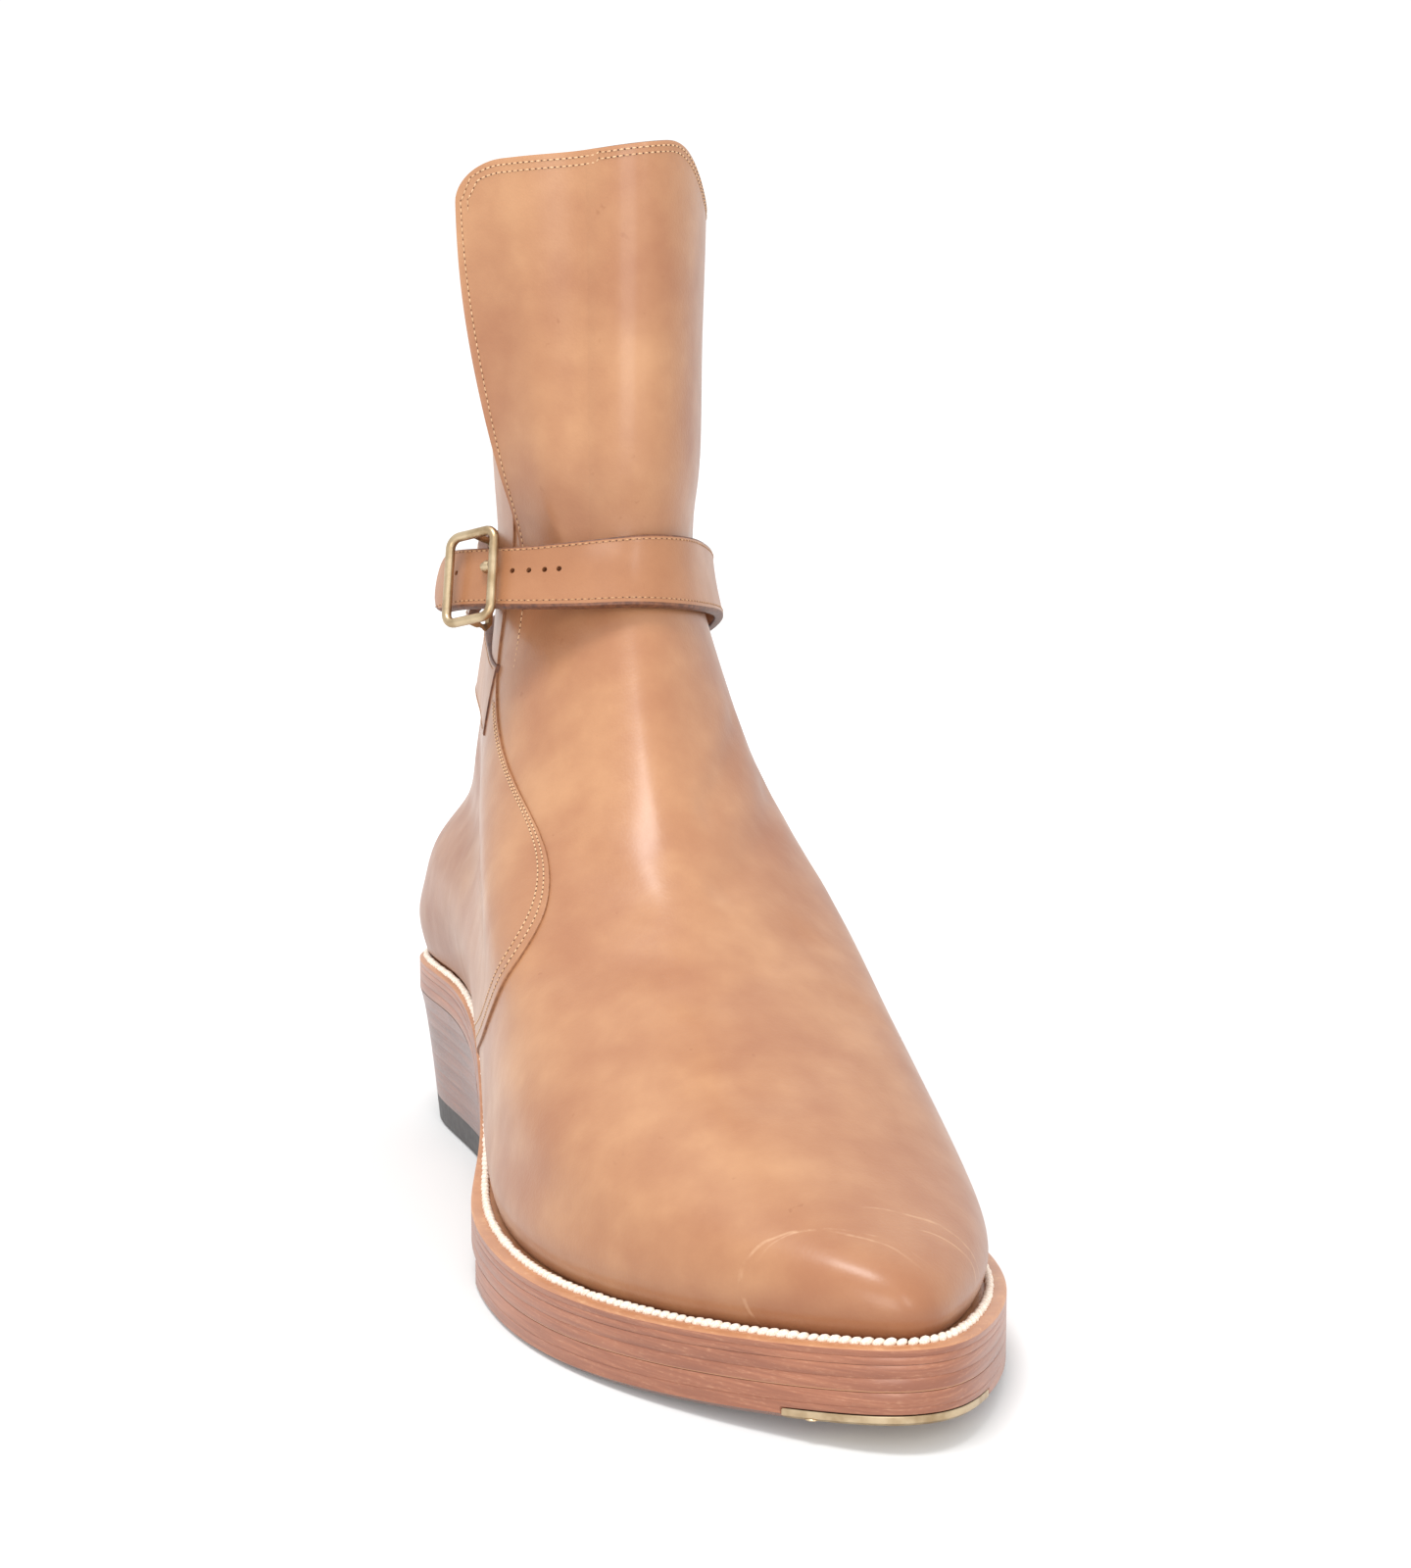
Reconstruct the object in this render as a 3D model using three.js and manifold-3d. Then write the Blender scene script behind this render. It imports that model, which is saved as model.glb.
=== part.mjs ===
// A right jodhpur boot standing on its sole: millimetres, +Z up, toe toward -Y, little-toe side toward -X.
// The upper is one surface of loops, and every other piece takes its outline or its seat from that surface.
import * as THREE from "three";
import { mergeVertices } from "three/addons/utils/BufferGeometryUtils.js";
import Module from "manifold-3d";

const wasm = await Module();
wasm.setup();

// Foot sizes, measured at the feather edge where the upper meets the welt
const footLength = 292;
const heelWidth = 65;
const waistWidth = 65;
const ballWidth = 88;
const toeWidth = 43;
const instepRise = 80;

// Shaft sizes
const ankleRise = 107;
const ankleWidth = 46;
const ankleDepth = 97;
const topRise = 210;
const topWidth = 53;
const topDepth = 115;
const shinSetback = 121;
const shinLean = 2;
const topSlope = 6;
const quarterDip = 27;
const innerDip = 14;

// Leather and clearances
const wall = 2.4;
const gap = 0.3;
const overlayGap = 0.5;
const insoleThickness = 3;

// Sole sizes
const weltThickness = 3.2;
const weltInset = 9;
const midsoleThickness = 4.6;
const halfSoleThickness = 6.2;
const heelHeight = 35;
const topLiftThickness = 7;
const liftCount = 7;
const toeSpring = 5;
const heelGrow = 3.4;
const waistGrow = 2.6;
const foreGrow = 6;
const heelLength = 84;
const heelBackTaper = 9;
const heelSideTaper = 3.5;
const heelCurve = 0.7;
const breastHollow = 4;
const braceReach = 18;
const braceShoulder = 12;
const toePlateLength = 15;
const toePlateThickness = 2.2;
const plugRadius = 5.2;
const plugThickness = 4;
const plugRecess = 1;

// Back strip, flap and straps
const backStripWidth = 28;
const backStripThickness = 1.4;
const flapThickness = 2.2;
const flapFlare = 13.5;
const flapCorner = 9;
const strapWidth = 18;
const strapThickness = 2.4;

// Buckle
const buckleLength = 16;
const buckleHeight = 24;
const buckleWire = 2.4;
const buckleDepth = 2.2;
const studRadius = 1.6;
const studAside = 2.6;

// Heights that follow from the stack of pieces
const seatHeight = heelHeight + gap + midsoleThickness + gap + weltThickness;
const foreHeight = halfSoleThickness + gap + midsoleThickness + gap + weltThickness;

const mix = (a, b, t) => a + (b - a) * t;
const clamp = (x) => Math.min(1, Math.max(0, x));
const eased = (a, b, x) => {
  const t = clamp((x - a) / (b - a));
  return t * t * t * (t * (6 * t - 15) + 10);
};

// Height of the feather edge at a share of the foot's length, heel 0 to toe 1
const archFrom = 0.16;
const archTo = 0.64;
const springFrom = 0.72;
function featherHeight(share) {
  const spring = Math.max(0, (share - springFrom) / (1 - springFrom));
  return mix(seatHeight, foreHeight, eased(archFrom, archTo, share)) + toeSpring * spring * spring;
}

// The foot's loops, from the feather edge up.
// at: place on the surface; back, front: shares of the foot's length;
// backRise, frontRise: shares of the instep's rise; follow: how far the loop bends with the sole;
// heel to toe: half widths as shares of the four widths; lean columns: centre as a share of the ball's width;
// roundBack, roundFront: how blunt the loop's two ends are.
const footColumns = [
  "at", "back", "backRise", "front", "frontRise", "follow", "heel", "waist", "ball", "toe",
  "heelLean", "waistLean", "ballLean", "toeLean", "roundBack", "roundFront",
];
const footRows = [
  [0.0, 0.0, 0.0, 1.0, 0.0, 1.0, 0.5, 0.5, 0.5, 0.5, -0.02, -0.035, 0.015, 0.104, 9, 4.8],
  [0.06, -0.006, 0.14, 1.005, 0.07, 1.0, 0.54, 0.53, 0.525, 0.545, -0.02, -0.035, 0.015, 0.1, 9, 4.7],
  [0.13, -0.008, 0.275, 0.985, 0.165, 0.9, 0.53, 0.54, 0.515, 0.56, -0.02, -0.035, 0.02, 0.082, 7, 4.6],
  [0.2, -0.002, 0.425, 0.93, 0.255, 0.7, 0.49, 0.525, 0.505, 0.56, -0.015, -0.03, 0.02, 0.048, 5, 4.4],
  [0.28, 0.012, 0.575, 0.825, 0.415, 0.45, 0.385, 0.485, 0.48, 0.545, -0.005, -0.022, 0.024, 0.026, 4, 4.2],
  [0.37, 0.03, 0.74, 0.69, 0.63, 0.2, 0.345, 0.455, 0.45, 0.475, 0.0, -0.012, 0.025, 0.012, 3, 3.5],
  [0.45, 0.048, 0.93, 0.56, 0.925, 0.0, 0.31, 0.435, 0.37, 0.375, 0.005, -0.002, 0.012, 0.002, 2.5, 2.7],
  [0.52, 0.064, 1.13, 0.47, 1.245, 0.0, 0.265, 0.38, 0.3, 0.305, 0.008, 0.004, 0.006, 0.0, 2.2, 2.2],
];

// The shaft's loops. up: share of the way from ankle to top; lean: centre as a share of the top's width
const shaftColumns = ["at", "up", "lean"];
const shaftRows = [
  [0.59, 0.0, 0.025],
  [0.69, 0.22, 0.03],
  [0.8, 0.5, 0.035],
  [0.9, 0.78, 0.04],
  [1.0, 1.0, 0.035],
];
const stations = [0.12, 0.42, 0.7, 0.93];
const shaftRound = 2;

const named = (columns, row) => Object.fromEntries(columns.map((name, i) => [name, row[i]]));

// Rounding of a loop toward its two ends
function rounding(share, back, front) {
  const s = clamp(share);
  return Math.sqrt(Math.max(0, 1 - (1 - s) ** back)) * Math.sqrt(Math.max(0, 1 - s ** front));
}

// The cubic through four values at the stations
function throughStations(values, s) {
  return values.reduce((sum, value, i) => {
    const weight = stations.reduce((w, at, j) => (i === j ? w : (w * (s - at)) / (stations[i] - at)), 1);
    return sum + value * weight;
  }, 0);
}

function footLoop(row) {
  const r = named(footColumns, row);
  const halfWidths = [r.heel * heelWidth, r.waist * waistWidth, r.ball * ballWidth, r.toe * toeWidth];
  const leans = [r.heelLean, r.waistLean, r.ballLean, r.toeLean].map((lean) => lean * ballWidth);
  return [
    r.at,
    -r.back * footLength,
    featherHeight(r.back) + r.backRise * instepRise,
    -r.front * footLength,
    featherHeight(r.front) + r.frontRise * instepRise,
    r.follow,
    ...halfWidths,
    ...leans,
    r.roundBack,
    r.roundFront,
  ];
}

function shaftLoop(row) {
  const r = named(shaftColumns, row);
  const height = seatHeight + mix(ankleRise, topRise, r.up);
  const front = -shinSetback - shinLean * r.up;
  const half = mix(ankleWidth, topWidth, r.up) / 2;
  const middle = rounding(0.5, shaftRound, shaftRound);
  const halfWidths = stations.map((at) => (half * rounding(at, shaftRound, shaftRound)) / middle);
  const lean = r.lean * topWidth;
  const depth = mix(ankleDepth, topDepth, r.up);
  const ends = [front + depth, height, front, height];
  const leans = [lean, lean, lean, lean];
  return [r.at, ...ends, 0, ...halfWidths, ...leans, shaftRound, shaftRound];
}

// A natural cubic spline through rows whose first column is the place along it
function spline(rows) {
  const x = rows.map((row) => row[0]);
  const last = x.length - 1;
  const bends = rows[0].slice(1).map((_, column) => {
    const y = rows.map((row) => row[column + 1]);
    const upper = [0];
    const right = [0];
    for (let i = 1; i < last; i++) {
      const before = x[i] - x[i - 1];
      const after = x[i + 1] - x[i];
      const pivot = 2 * (before + after) - before * upper[i - 1];
      upper[i] = after / pivot;
      const turn = 6 * ((y[i + 1] - y[i]) / after - (y[i] - y[i - 1]) / before);
      right[i] = (turn - before * right[i - 1]) / pivot;
    }
    const bend = new Array(last + 1).fill(0);
    for (let i = last - 1; i > 0; i--) bend[i] = right[i] - upper[i] * bend[i + 1];
    return bend;
  });
  return (v) => {
    let i = 0;
    while (i < last - 1 && v >= x[i + 1]) i++;
    const h = x[i + 1] - x[i];
    const a = (x[i + 1] - v) / h;
    const b = (v - x[i]) / h;
    return bends.map((bend, column) => {
      const curve = ((a ** 3 - a) * bend[i] + (b ** 3 - b) * bend[i + 1]) * ((h * h) / 6);
      return a * rows[i][column + 1] + b * rows[i + 1][column + 1] + curve;
    });
  };
}

const loopAt = spline([...footRows.map(footLoop), ...shaftRows.map(shaftLoop)]);

// A point of the boot's outer surface. turn: 0 at the back, pi at the toe, little-toe side between;
// v: 0 at the feather edge, 1 at the top line.
function surface(turn, v) {
  const [backY, backZ, frontY, frontZ, follow, ...rest] = loopAt(v);
  const halfWidths = rest.slice(0, 4);
  const leans = rest.slice(4, 8);
  const [roundBack, roundFront] = rest.slice(8);
  const s = (1 - Math.cos(turn)) / 2;
  const side = Math.sin(turn) >= 0 ? -1 : 1;
  const full = halfWidths.map((w, i) => w / rounding(stations[i], roundBack, roundFront));
  const x = throughStations(full, s) * rounding(s, roundBack, roundFront);
  const y = mix(backY, frontY, s);
  const chord = mix(featherHeight(-backY / footLength), featherHeight(-frontY / footLength), s);
  const z = mix(backZ, frontZ, s) + follow * (featherHeight(-y / footLength) - chord);
  return new THREE.Vector3(throughStations(leans, s) + side * x, y, z);
}

const step = 1e-3;
function frameAt(turn, v) {
  const along = surface(turn + step, v).sub(surface(turn - step, v)).divideScalar(2 * step);
  const up = surface(turn, v + step).sub(surface(turn, v - step)).divideScalar(2 * step);
  const normal = new THREE.Vector3().crossVectors(along, up).normalize();
  return { along, up, normal };
}

const raised = (turn, v, height) => surface(turn, v).addScaledVector(frameAt(turn, v).normal, height);

// The place on the surface of a height above the ground, on the given turn
const halvings = 40;
function placeAtHeight(turn, height) {
  let low = 0;
  let high = 1;
  for (let i = 0; i < halvings; i++) {
    const middle = (low + high) / 2;
    if (surface(turn, middle).z < height) low = middle;
    else high = middle;
  }
  return (low + high) / 2;
}

// Solids. Faces are turned outwards by the sign of the volume.
function geometryFrom(points, triangles) {
  const volume = triangles.reduce((sum, [a, b, c]) => {
    return sum + points[a].dot(new THREE.Vector3().crossVectors(points[b], points[c]));
  }, 0);
  const faces = volume < 0 ? triangles.map(([a, b, c]) => [a, c, b]) : triangles;
  const geometry = new THREE.BufferGeometry();
  geometry.setAttribute("position", new THREE.Float32BufferAttribute(points.flatMap((p) => p.toArray()), 3));
  geometry.setIndex(faces.flat());
  return geometry;
}

const quad = (a, b, c, d) => [[a, b, c], [a, c, d]];

// Sides between loops of equal count; closed over the first and last loop by caps, or joined round as a ring
function loft(loops, ends) {
  const count = loops[0].length;
  const points = loops.flat();
  const triangles = [];
  const rounds = ends === "ring" ? loops.length : loops.length - 1;
  for (let k = 0; k < rounds; k++) {
    const low = k * count;
    const high = ((k + 1) % loops.length) * count;
    for (let i = 0; i < count; i++) {
      const next = (i + 1) % count;
      triangles.push(...quad(low + i, low + next, high + next, high + i));
    }
  }
  if (ends !== "ring") {
    const top = (loops.length - 1) * count;
    for (const [a, b, c] of ends === "across" ? acrossCap(count) : flatCap(loops[0])) {
      triangles.push([c, b, a]);
      triangles.push([top + a, top + b, top + c]);
    }
  }
  return geometryFrom(points, triangles);
}

// A cap in strips from side to side, for a loop whose points face each other across the foot
function acrossCap(count) {
  const half = count / 2;
  const cap = [[0, 1, count - 1]];
  for (let i = 1; i < half - 1; i++) cap.push(...quad(i, i + 1, count - i - 1, count - i));
  cap.push([half - 1, half, half + 1]);
  return cap;
}

function flatCap(loop) {
  const contour = loop.map((p) => new THREE.Vector2(p.x, p.y));
  const cap = THREE.ShapeUtils.triangulateShape(contour, []);
  return THREE.ShapeUtils.isClockWise(contour) ? cap.map(([a, b, c]) => [c, b, a]) : cap;
}

function solidOf(geometry) {
  const bare = geometry.clone();
  bare.deleteAttribute("normal");
  bare.deleteAttribute("uv");
  const merged = mergeVertices(bare, 1e-4);
  return new wasm.Manifold(
    new wasm.Mesh({
      numProp: 3,
      vertProperties: merged.attributes.position.array,
      triVerts: new Uint32Array(merged.index.array),
    }),
  );
}

function geometryOf(solid) {
  const mesh = solid.getMesh();
  const geometry = new THREE.BufferGeometry();
  geometry.setAttribute("position", new THREE.Float32BufferAttribute(mesh.vertProperties, 3));
  geometry.setIndex([...mesh.triVerts]);
  return geometry;
}

// The sole's outline: the feather edge grown outwards, more at the forepart than at the waist
const outlinePoints = 80;
const waistFrom = 0.15;
const waistTo = 0.35;
const foreFrom = 0.42;
const foreTo = 0.62;
function edgePoint(turn, grow) {
  const p = surface(turn, 0);
  const { along } = frameAt(turn, 0);
  const out = new THREE.Vector3(along.y, -along.x, 0).normalize();
  const y = p.y + out.y * grow;
  return new THREE.Vector3(p.x + out.x * grow, y, -y / footLength);
}

function outlinePoint(turn, extra) {
  const share = -surface(turn, 0).y / footLength;
  const waist = mix(heelGrow, waistGrow, eased(waistFrom, waistTo, share));
  return edgePoint(turn, mix(waist, foreGrow, eased(foreFrom, foreTo, share)) + extra);
}

const turns = (count) => Array.from({ length: count }, (_, i) => (2 * Math.PI * i) / count);
const atHeight = (p, height) => new THREE.Vector3(p.x, p.y, height);
const outline = (below, extra = 0) =>
  turns(outlinePoints).map((turn) => {
    const p = outlinePoint(turn, extra);
    return atHeight(p, featherHeight(p.z) - below);
  });
const inside = (inset, above) =>
  turns(outlinePoints).map((turn) => {
    const p = edgePoint(turn, -inset);
    return atHeight(p, featherHeight(p.z) + above);
  });

// Upper
const upperTurns = 52;
const upperSteps = 24;
const heightPerPlace = (surface(Math.PI, 1).z - surface(Math.PI, 1 - step).z) / step;
const dipFrom = 0.15 * Math.PI;
const dipDeep = 0.58 * Math.PI;
const dipBack = 0.7 * Math.PI;
const dipTo = 0.84 * Math.PI;
const innerFrom = 1.06 * Math.PI;
const innerDeep = 1.22 * Math.PI;
const innerBack = 1.6 * Math.PI;
const innerTo = 1.95 * Math.PI;

// The top line rises toward the big-toe side of the front, and dips again behind it
function panelTop(turn) {
  const round = (turn + 2 * Math.PI) % (2 * Math.PI);
  const inner = eased(innerFrom, innerDeep, round) * (1 - eased(innerBack, innerTo, round));
  return 1 - ((topSlope / 2) * (1 + Math.sin(turn)) + innerDip * inner) / heightPerPlace;
}

// Under the flap the quarter's top line dips
function quarterTop(turn) {
  const dip = quarterDip * eased(dipFrom, dipDeep, turn) * (1 - eased(dipBack, dipTo, turn));
  return panelTop(turn) - dip / heightPerPlace;
}

const flapPlaces = 12;
const flapTurns = 9;
const flapFoot = 0.465;
const flapMerge = 0.87 * Math.PI;
const flapEdgeFoot = 0.62 * Math.PI;
const flapEdgeTop = 0.645 * Math.PI;
const flapLift = 0.5;
const flapSink = -1.8;
const flareFrom = 0.2;
const mergeFrom = 0.6;
const footMerge = 0.16;

// The flap's own coordinates: across 0 at the free edge to 1 where it runs into the shaft,
// up 0 at its foot to 1 at the top
function flapPoint(across, up, thickness) {
  const edge = mix(flapEdgeFoot, flapEdgeTop, up);
  const turn = mix(edge, flapMerge, across);
  const width = surface(edge, 1).distanceTo(surface(flapMerge, 1));
  const fromEdge = clamp((across * width) / flapCorner);
  const cut = flapCorner * (1 - Math.sqrt(1 - (1 - fromEdge) ** 2));
  const v = mix(flapFoot, panelTop(turn) - cut / heightPerPlace, up);
  const flare = flapFlare * eased(flareFrom, 1, up) * (1 - across) ** 2;
  const merged = Math.max(eased(mergeFrom, 1, across), 1 - eased(0, footMerge, up));
  return raised(turn, v, mix(flapLift + flare, flapSink, merged) + thickness);
}

function flap() {
  const points = [];
  const triangles = [];
  const at = (side, i, j) => (side * (flapPlaces + 1) + i) * (flapTurns + 1) + j;
  for (const thickness of [0, flapThickness]) {
    for (let i = 0; i <= flapPlaces; i++) {
      for (let j = 0; j <= flapTurns; j++) points.push(flapPoint(j / flapTurns, i / flapPlaces, thickness));
    }
  }
  for (let i = 0; i < flapPlaces; i++) {
    for (let j = 0; j < flapTurns; j++) {
      triangles.push(...quad(at(0, i, j), at(0, i, j + 1), at(0, i + 1, j + 1), at(0, i + 1, j)));
      triangles.push(...quad(at(1, i + 1, j), at(1, i + 1, j + 1), at(1, i, j + 1), at(1, i, j)));
    }
    triangles.push(...quad(at(0, i, 0), at(0, i + 1, 0), at(1, i + 1, 0), at(1, i, 0)));
    const end = [at(1, i, flapTurns), at(1, i + 1, flapTurns), at(0, i + 1, flapTurns), at(0, i, flapTurns)];
    triangles.push(...quad(...end));
  }
  for (let j = 0; j < flapTurns; j++) {
    triangles.push(...quad(at(1, 0, j), at(1, 0, j + 1), at(0, 0, j + 1), at(0, 0, j)));
    const outerTop = [at(0, flapPlaces, j), at(0, flapPlaces, j + 1)];
    triangles.push(...quad(...outerTop, at(1, flapPlaces, j + 1), at(1, flapPlaces, j)));
  }
  return geometryFrom(points, triangles);
}

function upper() {
  const loopsAt = (height) =>
    Array.from({ length: upperSteps + 1 }, (_, k) =>
      turns(upperTurns).map((turn) => {
        const p = raised(turn, (quarterTop(turn) * k) / upperSteps, height);
        return k === 0 ? atHeight(p, surface(turn, 0).z + gap) : p;
      }),
    );
  const shell = loft([...loopsAt(0), ...loopsAt(-wall).reverse()], "ring");
  return geometryOf(withoutPockets(solidOf(shell).add(solidOf(flap()))));
}

// Where flap and shell run together, their facets close off slivers, which are filled
const withoutPockets = (solid) => solid.decompose().reduce((a, b) => (b.volume() > a.volume() ? b : a));

// One section across a strip on the upper: its middle is given by turn and place,
// and its edges by their distance from it
function stripSection(turn, v, direction, width, lift, thickness, parts = 2) {
  const { along, up, normal } = frameAt(turn, v);
  const sideways = new THREE.Vector3().crossVectors(normal, direction).normalize();
  const aa = along.dot(along);
  const ab = along.dot(up);
  const bb = up.dot(up);
  const det = aa * bb - ab * ab;
  const low = [];
  const high = [];
  for (let i = 0; i <= parts; i++) {
    const reach = sideways.clone().multiplyScalar((i / parts - 0.5) * width);
    const ra = reach.dot(along);
    const rb = reach.dot(up);
    const t = turn + (ra * bb - rb * ab) / det;
    const w = v + (rb * aa - ra * ab) / det;
    const facing = frameAt(t, w).normal;
    facing.addScaledVector(direction, -facing.dot(direction)).normalize();
    low.push(raised(t, w, lift));
    high.unshift(raised(t, w, lift).addScaledVector(facing, thickness));
  }
  return [...low, ...high];
}

function capped(sections) {
  const count = sections[0].length;
  const points = sections.flat();
  const triangles = [];
  for (let k = 0; k + 1 < sections.length; k++) {
    for (let i = 0; i < count; i++) {
      const next = (i + 1) % count;
      const low = k * count;
      const high = low + count;
      triangles.push(...quad(low + i, low + next, high + next, high + i));
    }
  }
  const end = points.length - count;
  for (let i = 0; i < count / 2 - 1; i++) {
    const [a, b, c, d] = [i, i + 1, count - 2 - i, count - 1 - i];
    triangles.push([c, b, a], [d, c, a], [end + a, end + b, end + c], [end + a, end + c, end + d]);
  }
  return geometryFrom(points, triangles);
}

// Back strip, in step with the upper's own loops
const backStripParts = 8;
const backStripFoot = 0.25;
function backStrip() {
  const sections = Array.from({ length: upperSteps + 1 }, (_, k) => {
    const v = (panelTop(0) * Math.max(k, backStripFoot)) / upperSteps;
    const direction = frameAt(0, v).up.normalize();
    return stripSection(0, v, direction, backStripWidth, overlayGap, backStripThickness, backStripParts);
  });
  return capped(sections);
}

// Straps. turn: in half turns; rise: height over the ankle strap's, as a share of the ankle's rise;
// lift: clearance from the upper in strap thicknesses.
const strapHeight = seatHeight + ankleRise + 1;
const pathColumns = ["turn", "rise", "lift"];
const lying = (2 * gap) / strapThickness;
const overStrip = (overlayGap + backStripThickness + 2 * gap) / strapThickness;
const overStrap = overStrip + 1 + (3 * gap) / strapThickness;
const wrapRows = [
  [0.56, -0.33, lying],
  [0.42, -0.3, lying],
  [0.27, -0.27, overStrip],
  [0.0, -0.21, overStrip * 1.4],
  [-0.1, -0.195, overStrap],
  [-0.21, -0.17, overStrap],
  [-0.33, -0.14, overStrap],
  [-0.45, -0.1, overStrap * 1.05],
  [-0.65, -0.03, lying * 2],
  [-0.85, 0.01, lying],
  [-1.0, 0.0, lying * 1.5],
  [-1.12, -0.02, 1.4],
  [-1.2, -0.035, 2.7],
  [-1.28, -0.053, 4.6],
  [-1.36, -0.068, 6.6],
  [-1.44, -0.078, 7.0],
];
const buckleRows = [
  [0.63, -0.066, 4.2],
  [0.55, -0.05, 2.9],
  [0.42, -0.02, 1.4],
  [0.27, -0.01, overStrip],
  [0.12, -0.015, overStrip],
  [0.0, -0.02, overStrip],
  [-0.1, -0.035, overStrip],
  [-0.2, -0.075, overStrip],
  [-0.3, -0.12, overStrip],
  [-0.36, -0.14, lying * 2],
];
const buckleAt = 13.65;
const wrapSections = 64;
const buckleSections = 24;

// Where a strap's middle runs, at a place counted in rows of its path
function strapPlace(rows, at) {
  const path = spline(rows.map((row, i) => [i, ...row]));
  const place = (t) => {
    const r = named(pathColumns, path(t));
    const turn = r.turn * Math.PI;
    return { turn, v: placeAtHeight(turn, strapHeight + r.rise * ankleRise), lift: r.lift * strapThickness };
  };
  const near = 0.02;
  const before = place(Math.max(0, at - near));
  const after = place(Math.min(rows.length - 1, at + near));
  const direction = raised(after.turn, after.v, after.lift).sub(raised(before.turn, before.v, before.lift));
  return { ...place(at), direction: direction.normalize() };
}

function strap(rows, count) {
  const sections = Array.from({ length: count + 1 }, (_, k) => {
    const p = strapPlace(rows, ((rows.length - 1) * k) / count);
    return stripSection(p.turn, p.v, p.direction, strapWidth, p.lift, strapThickness);
  });
  return capped(sections);
}

// Sole
const welt = () =>
  loft([outline(0), outline(weltThickness), inside(weltInset, -weltThickness), inside(weltInset, 0)], "ring");
const insole = () => loft([inside(wall + gap, gap), inside(wall + gap, gap + insoleThickness)], "across");
const midsoleTop = weltThickness + gap;
const midsoleBottom = midsoleTop + midsoleThickness;
const midsole = () => loft([outline(midsoleBottom), outline(midsoleTop)], "across");
const halfSoleTop = midsoleBottom + gap;
const halfSoleBottom = halfSoleTop + halfSoleThickness;

// The half sole's rear edge is brace-shaped: its point reaches back along the middle of the waist
const braceAt = -0.575 * footLength;
function braceTool() {
  const shoulder = braceAt - braceShoulder;
  const point = braceAt + braceReach;
  const edge = ballWidth / 2;
  const flank = ballWidth / 4;
  const neck = ballWidth / 12;
  const shape = new THREE.Shape();
  shape.moveTo(-ballWidth, shoulder);
  shape.lineTo(-edge, shoulder);
  shape.bezierCurveTo(-flank, shoulder, -neck, braceAt, 0, point);
  shape.bezierCurveTo(neck, braceAt, flank, shoulder, edge, shoulder);
  shape.lineTo(ballWidth, shoulder);
  shape.lineTo(ballWidth, footLength);
  shape.lineTo(-ballWidth, footLength);
  const depth = seatHeight + instepRise;
  const tool = new THREE.ExtrudeGeometry(shape, { depth, bevelEnabled: false, curveSegments: 8 });
  return tool.translate(0, 0, -instepRise / 2);
}

// A box ahead of a line across the toe, to part the toe plate from the half sole
function toeTool(clearance) {
  const size = ballWidth * 2;
  const box = new THREE.BoxGeometry(size, size, size);
  const rear = -footLength - foreGrow + toePlateLength + clearance;
  return box.translate(0, rear - size / 2, 0);
}

function toePlateSlab(clearance) {
  const top = outline(halfSoleBottom - toePlateThickness - clearance, clearance);
  return loft([outline(halfSoleBottom + clearance, clearance), top], "across");
}

const toePlate = () => geometryOf(solidOf(toePlateSlab(0)).intersect(solidOf(toeTool(0))));

function halfSole() {
  const slab = solidOf(loft([outline(halfSoleBottom), outline(halfSoleTop)], "across"));
  const recess = solidOf(toePlateSlab(gap)).intersect(solidOf(toeTool(gap)));
  return geometryOf(slab.subtract(solidOf(braceTool())).subtract(recess));
}

// Heel: the outline behind the hollow breast, drawn in toward the ground, at the back more than at the sides
const heelPoints = 26;
const breastPoints = 6;
function heelTurn(side) {
  let low = 0;
  let high = Math.PI / 2;
  for (let i = 0; i < halvings; i++) {
    const middle = (low + high) / 2;
    if (outlinePoint(side * middle, 0).y > -heelLength) low = middle;
    else high = middle;
  }
  return side * low;
}

function heelLoop(height) {
  const from = heelTurn(-1);
  const to = heelTurn(1);
  const rimPoint = (_, i) => outlinePoint(mix(from, to, i / heelPoints), 0);
  const rim = Array.from({ length: heelPoints + 1 }, rimPoint);
  const [start, end] = [rim[rim.length - 1], rim[0]];
  for (let i = 1; i < breastPoints; i++) {
    const t = i / breastPoints;
    const hollow = 4 * t * (1 - t) * breastHollow;
    rim.push(new THREE.Vector3(mix(start.x, end.x, t), mix(start.y, end.y, t) + hollow, 0));
  }
  const drawn = clamp(1 - height / heelHeight) ** heelCurve;
  const narrowed = 1 - (2 * heelSideTaper * drawn) / heelWidth;
  return rim.map((p) => {
    const back = 1 + p.y / heelLength;
    return new THREE.Vector3(p.x * narrowed, p.y - heelBackTaper * drawn * back, height);
  });
}

const liftThickness = (heelHeight - topLiftThickness) / liftCount;
const liftBottom = (i) => topLiftThickness + i * liftThickness;

function heelLift(i) {
  const low = heelLoop(liftBottom(i));
  const high = heelLoop(liftBottom(i) + liftThickness);
  return loft([low, high], "flat");
}

// The uppermost lifts are cut to the underside of the midsole, which falls toward the waist
function heelLiftUnderSole(i) {
  const under = loft([outline(midsoleBottom + gap, foreGrow), outline(-instepRise, foreGrow)], "across");
  return geometryOf(solidOf(heelLift(i)).subtract(solidOf(under)));
}

// Middles of the plugs, as shares of the heel's width and length
const plugPlaces = [
  [0, -0.4],
  [-0.22, -0.7],
  [0.22, -0.7],
];

const plugSides = 20;
function plug([acrossShare, alongShare], radius, bottom, height) {
  const disc = new THREE.CylinderGeometry(radius, radius, height, plugSides);
  disc.rotateX(Math.PI / 2);
  return disc.translate(acrossShare * heelWidth, alongShare * heelLength, bottom + height / 2);
}

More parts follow.
